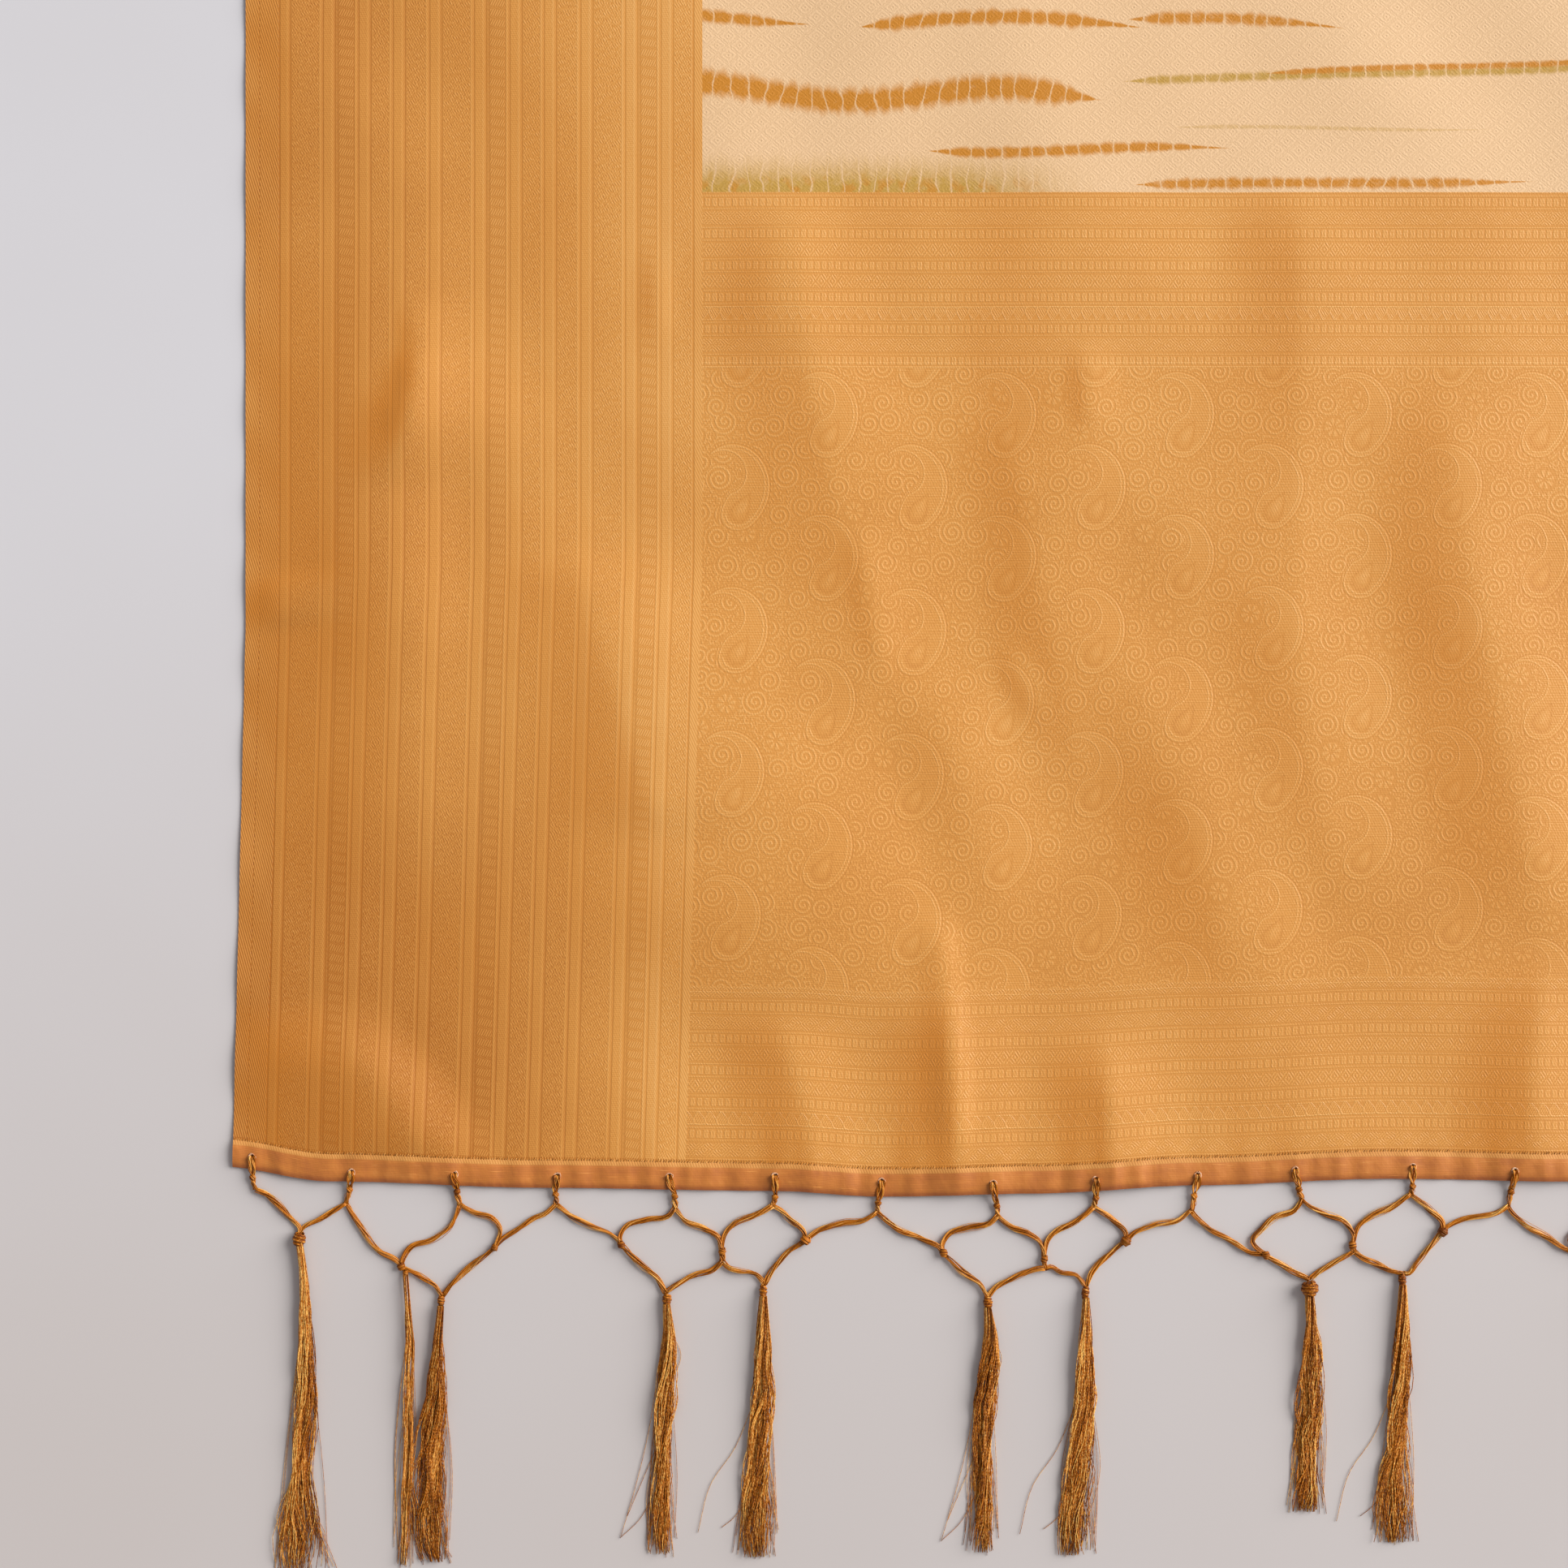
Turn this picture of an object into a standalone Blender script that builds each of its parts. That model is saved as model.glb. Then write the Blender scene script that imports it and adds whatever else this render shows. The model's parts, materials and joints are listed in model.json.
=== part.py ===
"""A saree laid out flat on a table, with a knotted fringe across its decorated end.

Sizes are in millimetres until a mesh is made, and every mesh is in metres. u runs across the cloth from
the left selvedge and v runs up it from the fringed end, both as the cloth was cut. laid() gives the place
on the table of each cut point, and lift() how far a fold raises it. The table is at z = 0.
"""

import math
from collections import namedtuple

import bmesh
import bpy
import numpy as np

MM = 0.001

# The cloth as it was cut
WIDTH = 1100.0
LENGTH = 5500.0
BORDER = 225.0
PALLU_TOP = 487.0
HEM = 13.5
WALL = 1.2
HEM_WALL = 2.0
SEAM = 0.3

# How closely the walls are sampled: across and along the folds of the pallu, and beyond it
COLUMN = 16.0
ROW = 34.0
FAR_COLUMN = 40.0
FAR_ROW = 110.0

# The fringe
EYELET_RADIUS = 2.3
TIE_RADIUS = 1.3
CORNER_TIE_RADIUS = 1.8
NET_RADIUS = 1.6
KNOT_RADIUS = 2.6
ABOVE_TABLE = 0.4
KNOT_GAP = 0.6
HEAD_GAP = 2.6
FRINGE_REACH = 194.0
REPEAT = 156.0
TIE_COUNT = 22
KNOT_COUNT = 21
TASSEL_COUNT = 14

# The table's origin is under the middle of the whole part
MIDDLE_U = WIDTH / 2
MIDDLE_V = (LENGTH - FRINGE_REACH) / 2

# How the laid end departs from a straight one: the hem's lower edge, and the sideways drift of each
# lengthwise line (millimetres to the left at the hem, and the v at which the drift has faded)
HemPoint = namedtuple("HemPoint", "u v")
HEM_LINE = [
    HemPoint(-6, 7.2),
    HemPoint(51, 0.0),
    HemPoint(155, -3.2),
    HemPoint(271, -4.8),
    HemPoint(319, -7.6),
    HemPoint(391, -6.0),
    HemPoint(471, -2.0),
    HemPoint(559, 1.2),
    HemPoint(650, 0.0),
    HemPoint(780, -4.4),
    HemPoint(900, -5.6),
    HemPoint(1020, -1.2),
    HemPoint(1106, 6.0),
]
HEM_LINE_FADE = 420.0

Drift = namedtuple("Drift", "u left fades_at")
DRIFTS = [
    Drift(0, 6.4, 270),
    Drift(60, 8.4, 300),
    Drift(225, 8.6, 306),
    Drift(550, 0.0, 306),
    Drift(875, -8.6, 306),
    Drift(1040, -8.4, 300),
    Drift(1100, -6.4, 270),
]

# The largest folds: a ridge from its upper to its lower end, its height and half its width
Fold = namedtuple("Fold", "top_u top_v low_u low_v height half")
PALLU_FOLDS = [
    Fold(80, 452, 57, 330, 2.8, 40),
    Fold(42, 92, 94, 14, 4.0, 46),
    Fold(146, 340, 290, 50, 4.5, 100),
    Fold(278, 500, 309, 205, 2.4, 46),
    Fold(262, 100, 279, 14, 3.2, 34),
    Fold(369, 410, 420, 170, 2.4, 42),
    Fold(398, 500, 430, 300, 2.6, 46),
    Fold(341, 142, 350, 14, 4.5, 32),
    Fold(424, 92, 432, 14, 4.4, 36),
    Fold(430, 290, 491, 84, 2.4, 46),
    Fold(514, 500, 545, 120, 2.8, 50),
    Fold(590, 380, 640, 120, 4.5, 46),
    Fold(640, 110, 632, 14, 4.0, 30),
    Fold(720, 450, 760, 210, 4.5, 44),
    Fold(800, 140, 790, 14, 3.6, 30),
    Fold(850, 420, 880, 200, 3.6, 34),
    Fold(960, 330, 930, 180, 3.0, 30),
    Fold(1010, 120, 1000, 14, 3.0, 32),
]
LENGTH_FOLDS = [
    Fold(330, 1080, 420, 640, 5.0, 90),
    Fold(700, 1300, 640, 820, 5.0, 90),
    Fold(520, 2050, 600, 1480, 5.5, 95),
    Fold(880, 1900, 800, 1500, 4.5, 90),
    Fold(300, 2650, 380, 2150, 5.0, 90),
    Fold(690, 3000, 620, 2450, 5.5, 95),
    Fold(400, 3650, 470, 3120, 5.0, 90),
    Fold(800, 3900, 740, 3350, 5.0, 90),
    Fold(540, 4500, 600, 3950, 5.5, 95),
    Fold(320, 4950, 360, 4500, 4.5, 90),
    Fold(780, 5200, 720, 4700, 5.0, 90),
]
FOLD_END = 0.3

# Each tie: its eyelet, the small knot under the hem and the point where its branches part
Tie = namedtuple("Tie", "eye_u eye_v knot_u knot_v split_u split_v")
SHOWN_TIES = [
    Tie(3.4, 12.0, 3.6, 2.0, 5.0, -4.0),
    Tie(52.4, 4.6, 51.4, -3.9, 49.4, -10.8),
    Tie(103.2, 3.6, 104.2, -4.9, 105.6, -11.4),
    Tie(153.6, 2.6, 152.8, -6.4, 153.2, -11.4),
    Tie(208.8, 2.6, 211.4, -7.6, 211.6, -13.4),
    Tie(260.8, 2.6, 260.8, -7.8, 259.8, -12.0),
    Tie(313.2, 0.0, 311.6, -10.8, 311.2, -15.2),
    Tie(368.0, -0.6, 370.0, -12.0, 370.4, -16.8),
    Tie(418.8, 1.2, 418.8, -8.4, 418.0, -12.4),
    Tie(468.8, 3.0, 467.2, -7.2, 466.0, -14.4),
    Tie(516.8, 5.6, 518.8, -3.9, 520.4, -8.8),
]

# The knots where the branches of neighbouring ties meet. The first is the head of the corner tassel
Knot = namedtuple("Knot", "u v")
SHOWN_KNOTS = [
    Knot(26.2, -26.4),
    Knot(76.8, -42.0),
    Knot(122.6, -32.8),
    Knot(185.0, -31.4),
    Knot(234.8, -36.4),
    Knot(275.8, -28.8),
    Knot(343.8, -35.2),
    Knot(393.4, -38.4),
    Knot(433.4, -29.4),
    Knot(502.4, -36.2),
    Knot(545.2, -31.4),
]

# Each tassel: the middle of its head, the head's width and height, the middle of its tips, how far it
# sways to the right half-way down, and the width of its fan. The thin tassel hangs from the second knot
Tassel = namedtuple("Tassel", "head_u head_v wide tall tip_u tip_v sway fan")
SHOWN_TASSELS = [
    Tassel(26.2, -26.4, 7.6, 8.0, 27.2, -194.0, 2.6, 15.0),
    Tassel(96.6, -60.6, 6.8, 6.4, 92.4, -187.0, -0.8, 13.0),
    Tassel(207.2, -59.4, 6.8, 6.4, 204.4, -184.0, 1.0, 10.5),
    Tassel(255.0, -55.0, 6.8, 6.4, 251.4, -184.5, 0.8, 12.5),
    Tassel(366.2, -61.4, 6.8, 6.4, 363.0, -184.5, 1.0, 10.5),
    Tassel(413.4, -56.0, 6.8, 6.4, 409.4, -185.0, 0.8, 12.5),
    Tassel(523.8, -53.0, 9.2, 9.0, 523.6, -163.0, 1.0, 12.0),
]
THIN_TASSEL = Tassel(75.8, -47.6, 3.6, 4.0, 78.0, -190.0, 1.6, 6.5)
HEAD_HEIGHT = 5.0
STRANDS_ACROSS = 5
STRAND_LAYERS = 2
STRAND_STEPS = 3
STRAND_GAP = 0.5
TIP_TAPER = 0.55

GOLD = (0.67, 0.28, 0.07)
CREAM = (0.87, 0.63, 0.36)
RUST = (0.61, 0.20, 0.06)
THREAD = (0.50, 0.17, 0.015)


def clear_scene():
    for obj in list(bpy.data.objects):
        bpy.data.objects.remove(obj, do_unlink=True)


def satin(name, colour, roughness):
    material = bpy.data.materials.new(name)
    material.use_nodes = True
    shader = material.node_tree.nodes["Principled BSDF"]
    shader.inputs["Base Color"].default_value = (*colour, 1.0)
    shader.inputs["Roughness"].default_value = roughness
    shader.inputs["Metallic"].default_value = 0.0
    return material


def add_object(name, mesh, colour, roughness):
    obj = bpy.data.objects.new(name, mesh)
    mesh.materials.append(satin(name, colour, roughness))
    bpy.context.scene.collection.objects.link(obj)
    return obj


def ease(t):
    """0 below 0, 1 above 1, and a smooth rise between."""
    t = np.clip(t, 0.0, 1.0)
    return t * t * (3.0 - 2.0 * t)


def hem_line(u):
    """The v of the hem's lower edge, eased from each measured point to the next."""
    places = np.array([point.u for point in HEM_LINE], float)
    heights = np.array([point.v for point in HEM_LINE], float)
    at = np.clip(np.searchsorted(places, u, side="right") - 1, 0, len(places) - 2)
    part = (u - places[at]) / (places[at + 1] - places[at])
    return heights[at] + (heights[at + 1] - heights[at]) * ease(part)


def laid(u, v):
    """The x and y on the table of a point of the cut cloth, in millimetres from the part's middle."""
    places = [drift.u for drift in DRIFTS]
    left = np.interp(u, places, [drift.left for drift in DRIFTS])
    fades_at = np.interp(u, places, [drift.fades_at for drift in DRIFTS])
    x = u - left * np.clip(1.0 - v / fades_at, 0.0, 1.0)
    y = v + hem_line(u) * (1.0 - ease(v / HEM_LINE_FADE))
    return x - MIDDLE_U, y - MIDDLE_V


def lift(u, v):
    """How far the cloth stands off the table: the highest of the ridges that cross the point.

    A ridge's section is one hump of a cosine, and it rises and sinks smoothly at its two ends.
    """
    height = np.zeros(np.shape(u))
    for fold in PALLU_FOLDS + LENGTH_FOLDS:
        along_u = fold.low_u - fold.top_u
        along_v = fold.low_v - fold.top_v
        length = math.hypot(along_u, along_v)
        along = ((u - fold.top_u) * along_u + (v - fold.top_v) * along_v) / length**2
        aside = np.abs((u - fold.top_u) * along_v - (v - fold.top_v) * along_u) / length
        ends = ease(along / FOLD_END) * ease((1.0 - along) / FOLD_END)
        hump = 0.5 + 0.5 * np.cos(math.pi * np.clip(aside / fold.half, 0.0, 1.0))
        height = np.maximum(height, fold.height * ends * hump)
    return height


def spaced(first, last, step):
    return np.linspace(first, last, max(2, round((last - first) / step) + 1))


def wall_mesh(name, us, vs, thickness):
    """A closed wall over a grid of cut points: its underside on the laid cloth, its top a thickness above."""
    across, along = np.meshgrid(us, vs, indexing="ij")
    x, y = laid(across, along)
    low = lift(across, along)
    under = np.stack([x, y, low], axis=-1).reshape(-1, 3)
    over = np.stack([x, y, low + thickness], axis=-1).reshape(-1, 3)
    index = np.arange(across.size).reshape(across.shape)
    corners = [index[:-1, :-1], index[1:, :-1], index[1:, 1:], index[:-1, 1:]]
    top = np.stack(corners, axis=-1).reshape(-1, 4) + across.size
    bottom = np.stack(corners[::-1], axis=-1).reshape(-1, 4)
    rim = np.concatenate([index[:-1, 0], index[-1, :-1], index[:0:-1, -1], index[0, :0:-1]])
    ahead = np.roll(rim, -1)
    side = np.stack([rim, ahead, ahead + across.size, rim + across.size], axis=-1)
    mesh = bpy.data.meshes.new(name)
    faces = np.concatenate([top, bottom, side])
    mesh.from_pydata((np.concatenate([under, over]) * MM).tolist(), [], faces.tolist())
    mesh.update()
    return mesh


def border_columns():
    return spaced(0.0, BORDER - SEAM / 2, COLUMN)


def middle_columns(step):
    return spaced(BORDER + SEAM / 2, WIDTH - BORDER - SEAM / 2, step)


def pallu_rows():
    return spaced(HEM + SEAM, PALLU_TOP - SEAM / 2, ROW)


def build_borders():
    """Beside the pallu, the borders have the pallu's own rows, so that the seam between them stays even."""
    near = pallu_rows()
    rows = np.append(near, spaced(near[-1], LENGTH - HEM - SEAM, 8 * FAR_ROW)[1:])
    left = border_columns()
    add_object("border_left", wall_mesh("border_left", left, rows, WALL), GOLD, 0.5)
    right = WIDTH - left[::-1]
    add_object("border_right", wall_mesh("border_right", right, rows, WALL), GOLD, 0.5)


def build_pallu():
    mesh = wall_mesh("pallu", middle_columns(COLUMN), pallu_rows(), WALL)
    add_object("pallu", mesh, GOLD, 0.45)


def build_field():
    rows = spaced(PALLU_TOP + SEAM / 2, LENGTH - HEM - SEAM, FAR_ROW)
    columns = middle_columns(FAR_COLUMN)
    add_object("field", wall_mesh("field", columns, rows, WALL), CREAM, 0.6)


def eyelet_cutter(ties):
    """Six-sided prisms through the hem, one at each tie's eyelet."""
    shape = bmesh.new()
    for tie in ties:
        ring = bmesh.ops.create_cone(
            shape,
            cap_ends=True,
            segments=6,
            radius1=EYELET_RADIUS * MM,
            radius2=EYELET_RADIUS * MM,
            depth=4 * HEM_WALL * MM,
        )
        x, y = tie.eye_u - MIDDLE_U, tie.eye_v - MIDDLE_V
        bmesh.ops.translate(shape, verts=ring["verts"], vec=(x * MM, y * MM, HEM_WALL / 2 * MM))
    mesh = bpy.data.meshes.new("eyelet_cutter")
    shape.to_mesh(mesh)
    shape.free()
    cutter = bpy.data.objects.new("eyelet_cutter", mesh)
    bpy.context.scene.collection.objects.link(cutter)
    cutter.hide_render = True
    cutter.display_type = "WIRE"
    return cutter


def build_hems(ties):
    """The turned strips at both ends. The fringed one has the panels' own columns, so the seam stays even."""
    left = border_columns()
    columns = np.concatenate([left, middle_columns(COLUMN)[1:-1], WIDTH - left[::-1]])
    near = wall_mesh("fringe_hem", columns, np.array([0.0, HEM]), HEM_WALL)
    hem = add_object("fringe_hem", near, RUST, 0.7)
    holes = hem.modifiers.new("eyelets", "BOOLEAN")
    holes.operation = "DIFFERENCE"
    holes.object = eyelet_cutter(ties)
    far = wall_mesh("end_hem", np.array([0.0, WIDTH]), np.array([LENGTH - HEM, LENGTH]), HEM_WALL)
    add_object("end_hem", far, RUST, 0.7)


def repeated(rows, count):
    """The shown rows, then each further one a repeat to the right of the one three before it."""
    rows = list(rows)
    while len(rows) < count:
        old = rows[-3]._asdict()
        key = "eye_u" if "eye_u" in old else "u"
        drop = float(hem_line(old[key] + REPEAT) - hem_line(old[key]))
        moved = {
            column: value + (REPEAT if column.endswith("u") else drop) for column, value in old.items()
        }
        rows.append(type(rows[0])(**moved))
    return rows


def repeated_tassels(rows, count):
    """As repeated(), for tassels, which come two to a repeat."""
    rows = list(rows)
    while len(rows) < count:
        old = rows[-2]
        drop = float(hem_line(old.head_u + REPEAT) - hem_line(old.head_u))
        rows.append(
            old._replace(
                head_u=old.head_u + REPEAT,
                head_v=old.head_v + drop,
                tip_u=old.tip_u + REPEAT,
                tip_v=old.tip_v + drop,
            )
        )
    return rows


def ogee(start, end, steps):
    """Points from start to end that leave and arrive steeply and cross over gently between."""
    t = np.linspace(0.0, 1.0, steps + 1)
    sideways = 0.45 * t + 0.55 * ease(t)
    return [
        (start[0] + (end[0] - start[0]) * s, start[1] + (end[1] - start[1]) * part)
        for s, part in zip(sideways, t)
    ]


def short_of(start, end, gap):
    """The point on the way from start to end that stops one gap before the end."""
    length = math.hypot(end[0] - start[0], end[1] - start[1])
    share = 1.0 - gap / length
    return (start[0] + (end[0] - start[0]) * share, start[1] + (end[1] - start[1]) * share)


class CordShape:
    """Cords that meet in knots, as one closed mesh: each knot is a five-sided block, and a four-sided limb
    grows out of a side of it. A ring is the four vertices of a limb's section: left low, right low, right
    high, left high, seen along the limb."""

    def __init__(self):
        self.mesh = bmesh.new()

    def corner(self, u, v, z):
        return self.mesh.verts.new(((u - MIDDLE_U) * MM, (v - MIDDLE_V) * MM, z * MM))

    def knot(self, u, v, radius, points_up, open_sides):
        """A block whose outline has one point, up or down, and a flat side opposite it.

        Returns the rings of the open sides. Sides are numbered clockwise from the flat one, so 2 and 3 meet
        at the point.
        """
        turn = -1.0 if points_up else 1.0
        outline = [(-0.75, 0.9), (0.75, 0.9), (1.0, -0.1), (0.0, -1.25), (-1.0, -0.1)]
        places = [(u + a * radius * turn, v + b * radius * turn) for a, b in outline]
        low = [self.corner(a, b, ABOVE_TABLE) for a, b in places]
        high = [self.corner(a, b, ABOVE_TABLE + 2 * radius) for a, b in places]
        self.mesh.faces.new(low)
        self.mesh.faces.new(high[::-1])
        rings = []
        for side in range(5):
            after = (side + 1) % 5
            if side in open_sides:
                rings.append([low[side], low[after], high[after], high[side]])
            else:
                self.mesh.faces.new([low[side], low[after], high[after], high[side]])
        return rings

    def section(self, place, direction, radius):
        """A limb's ring at a place (u, v, z). The direction is the limb's own, as (u, v, z) too."""
        along_u, along_v, slope = direction
        flat = math.hypot(along_u, along_v)
        left = (-along_v / flat * radius, along_u / flat * radius)
        steep = math.hypot(flat, slope)
        lean = (-along_u / flat * slope / steep * radius, -along_v / flat * slope / steep * radius)
        rise = flat / steep * radius
        corners = [(1, -1), (-1, -1), (-1, 1), (1, 1)]
        return [
            self.corner(
                place[0] + left[0] * side + lean[0] * up,
                place[1] + left[1] * side + lean[1] * up,
                place[2] + rise * up,
            )
            for side, up in corners
        ]

    def limb(self, ring, places, radius, end=None):
        """Carries a limb from a ring through places (u, v, z), to another block's ring or to a closed end."""
        for k, place in enumerate(places):
            before = places[max(k - 1, 0)]
            after = places[min(k + 1, len(places) - 1)]
            direction = [after[i] - before[i] for i in range(3)]
            ring = self.join(ring, self.section(place, direction, radius))
        if end is None:
            self.mesh.faces.new(ring[::-1])
        else:
            # Seen from this limb, the other block's ring runs the other way round
            self.join(ring, [end[1], end[0], end[3], end[2]])

    def leg_into_eyelet(self, ring, places, tie):
        """Carries the leg over the hem and turns it down, so that it ends inside the eyelet."""
        for k, place in enumerate(places):
            following = places[k + 1] if k + 1 < len(places) else (tie.eye_u, tie.eye_v, place[2])
            direction = [following[i] - place[i] for i in range(3)]
            ring = self.join(ring, self.section(place, direction, TIE_RADIUS))
        half = 0.8 * TIE_RADIUS
        over = HEM_WALL + ABOVE_TABLE
        for near_z, far_z in ((over, over + 1.7 * TIE_RADIUS), (0.4 * HEM_WALL, 0.4 * HEM_WALL)):
            near = [(side, -half, near_z) for side in (-half, half)]
            far = [(side, half, far_z) for side in (half, -half)]
            bend = [self.corner(tie.eye_u + a, tie.eye_v + b, z) for a, b, z in near + far]
            ring = self.join(ring, bend)
        self.mesh.faces.new(ring[::-1])

    def join(self, ring, following):
        for k in range(4):
            after = (k + 1) % 4
            self.mesh.faces.new([ring[k], ring[after], following[after], following[k]])
        return following

    def build(self, name):
        bmesh.ops.recalc_face_normals(self.mesh, faces=self.mesh.faces[:])
        mesh = bpy.data.meshes.new(name)
        self.mesh.to_mesh(mesh)
        self.mesh.free()
        add_object(name, mesh, THREAD, 0.4)


def build_tie(number, tie, left_knot, right_knot, first_knot):
    """A leg down into the eyelet, the small knot under the hem, and the branches that lie on the table.

    The first knot is a tassel's head, which is larger than the others, so the branches stop further from it.
    """
    cord = CordShape()
    corner = left_knot is None or right_knot is None
    radius = CORNER_TIE_RADIUS if corner else TIE_RADIUS
    lie = radius + ABOVE_TABLE
    ends = {2: right_knot, 3: left_knot}
    limbs = [side for side, end in ends.items() if end is not None]
    rings = cord.knot(tie.split_u, tie.split_v + KNOT_RADIUS, KNOT_RADIUS, False, [0] + limbs)
    over_hem = HEM_WALL + ABOVE_TABLE + TIE_RADIUS
    leg = [
        (tie.knot_u, (tie.knot_v + tie.split_v) / 2 + KNOT_RADIUS, over_hem - 0.5),
        (tie.eye_u, tie.eye_v - 2.4, over_hem),
    ]
    cord.leg_into_eyelet(rings[0], leg, tie)
    for side, ring in zip(limbs, rings[1:]):
        start = (tie.split_u, tie.split_v)
        gap = HEAD_GAP if ends[side] is first_knot else KNOT_GAP
        run = ogee(start, short_of(start, ends[side], KNOT_RADIUS + gap), 4)
        cord.limb(ring, [(u, v, lie) for u, v in run[1:]], radius)
    cord.build(f"tie_{number:02d}")


def build_net(number, knots, heads):
    """The lower branches: down from each knot to the top of a tassel's head, and up to the next knot."""
    cord = CordShape()
    lie = NET_RADIUS + ABOVE_TABLE
    last = len(knots) - 1
    rings = {}
    for k, knot in enumerate(knots):
        sides = [2] if k == 0 else [3] if k == last else [2, 3]
        rings[k] = dict(zip(sides, cord.knot(knot.u, knot.v, KNOT_RADIUS, False, sides)))
    for k, head in enumerate(heads):
        radius = NET_RADIUS * 1.2
        top = (head.head_u, head.head_v + head.tall / 2 + SEAM + 0.9 * radius)
        right, left = cord.knot(*top, radius, True, [2, 3])
        for knot, ring, end in ((knots[k], rings[k][2], left), (knots[k + 1], rings[k + 1][3], right)):
            run = ogee((knot.u, knot.v - KNOT_RADIUS), (top[0], top[1] + NET_RADIUS), 4)
            cord.limb(ring, [(u, v, lie) for u, v in run[1:-1]], NET_RADIUS, end)
    cord.build(f"net_{number:02d}")


def build_tassel(name, tassel, across, layers, seed):
    """A bound head whose lower face is divided into a grid, with one strand drawn out of each division."""
    uneven = np.random.default_rng(seed)
    shape = bmesh.new()
    low_v = tassel.head_v - tassel.tall / 2
    columns = np.linspace(-0.5, 0.5, across + 1) * tassel.wide
    levels = ABOVE_TABLE + np.linspace(0.0, 1.0, layers + 1) * HEAD_HEIGHT
    grid = [
        [
            shape.verts.new(
                ((tassel.head_u + column - MIDDLE_U) * MM, (low_v - MIDDLE_V) * MM, level * MM)
            )
            for level in levels
        ]
        for column in columns
    ]
    roots = [
        shape.faces.new((grid[i][j], grid[i + 1][j], grid[i + 1][j + 1], grid[i][j + 1]))
        for i in range(across)
        for j in range(layers)
    ]
    bind_head(shape, grid, tassel)
    bmesh.ops.recalc_face_normals(shape, faces=shape.faces[:])
    bmesh.ops.inset_individual(shape, faces=roots, thickness=STRAND_GAP / 2 * MM)
    for number, root in enumerate(roots):
        draw_strand(shape, root, tassel, low_v, divmod(number, layers), (across, layers), uneven)
    mesh = bpy.data.meshes.new(name)
    shape.to_mesh(mesh)
    shape.free()
    add_object(name, mesh, THREAD, 0.4)


def bind_head(shape, grid, tassel):
    """Carries the outline of the strands' grid up into the head, which narrows towards its top."""
    ring = [row[0] for row in grid] + grid[-1][1:] + [row[-1] for row in grid[-2::-1]] + grid[0][-2:0:-1]
    base = [vert.co.copy() for vert in ring]
    middle_x = (tassel.head_u - MIDDLE_U) * MM
    middle_z = (ABOVE_TABLE + HEAD_HEIGHT / 2) * MM
    for share, wide, high in ((0.5, 1.12, 1.0), (1.0, 0.7, 0.7)):
        above = [
            shape.verts.new(
                (
                    middle_x + (place.x - middle_x) * wide,
                    place.y + tassel.tall * share * MM,
                    middle_z + (place.z - middle_z) * high,
                )
            )
            for place in base
        ]
        for k in range(len(ring)):
            after = (k + 1) % len(ring)
            shape.faces.new((ring[after], ring[k], above[k], above[after]))
        ring = above
    shape.faces.new(ring[::-1])


def draw_strand(shape, root, tassel, low_v, place, counts, uneven):
    """Extrudes one root of the head down the tassel: a four-sided lock that fans out and tapers at its tip."""
    column, layer = place
    across, layers = counts
    shift = (column + 0.5) / across - 0.5
    reach = 1.0 - uneven.uniform(0.0, 0.05)
    if column == across // 2 and layer == 0:
        reach = 1.0
    thick = HEAD_HEIGHT / layers
    middle_z = ABOVE_TABLE + thick * (layer + 0.5)
    for step in range(1, STRAND_STEPS + 1):
        part = step / STRAND_STEPS
        fan = tassel.wide + (tassel.fan - tassel.wide) * float(ease(part / 0.5))
        sway = tassel.sway * math.sin(math.pi * part)
        u = tassel.head_u + (tassel.tip_u - tassel.head_u) * part + sway + shift * fan
        v = low_v + (tassel.tip_v - low_v) * part * reach
        taper = TIP_TAPER if step == STRAND_STEPS else 1.0
        half_u = (fan / across - STRAND_GAP) / 2 * taper
        half_z = (thick - STRAND_GAP) / 2 * taper
        out = bmesh.ops.extrude_face_region(shape, geom=[root])
        verts = [item for item in out["geom"] if isinstance(item, bmesh.types.BMVert)]
        middle_x = sum(vert.co.x for vert in verts) / 4
        old_z = sum(vert.co.z for vert in verts) / 4
        for vert in verts:
            side = math.copysign(half_u, vert.co.x - middle_x)
            up = math.copysign(half_z, vert.co.z - old_z)
            vert.co = ((u + side - MIDDLE_U) * MM, (v - MIDDLE_V) * MM, (middle_z + up) * MM)
        shape.faces.remove(root)
        root = next(item for item in out["geom"] if isinstance(item, bmesh.types.BMFace))


def build_fringe(ties, knots, tassels):
    for number, tie in enumerate(ties, start=1):
        left = knots[number - 2] if number > 1 else None
        right = knots[number - 1] if number < TIE_COUNT else None
        build_tie(number, tie, left, right, knots[0])
    build_net(1, knots[1:3], tassels[1:2])
    for group in range(6):
        first = 3 + 3 * group
        build_net(group + 2, knots[first : first + 3], tassels[2 + 2 * group : 4 + 2 * group])
    for number, tassel in enumerate(tassels, start=1):
        build_tassel(f"tassel_{number:02d}", tassel, STRANDS_ACROSS, STRAND_LAYERS, number)
    build_tassel("tassel_thin", THIN_TASSEL, 3, STRAND_LAYERS, TASSEL_COUNT + 1)


def main():
    clear_scene()
    ties = repeated(SHOWN_TIES, TIE_COUNT)
    knots = repeated(SHOWN_KNOTS, KNOT_COUNT)
    tassels = repeated_tassels(SHOWN_TASSELS, TASSEL_COUNT)
    build_borders()
    build_pallu()
    build_field()
    build_hems(ties)
    build_fringe(ties, knots, tassels)


main()
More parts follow.
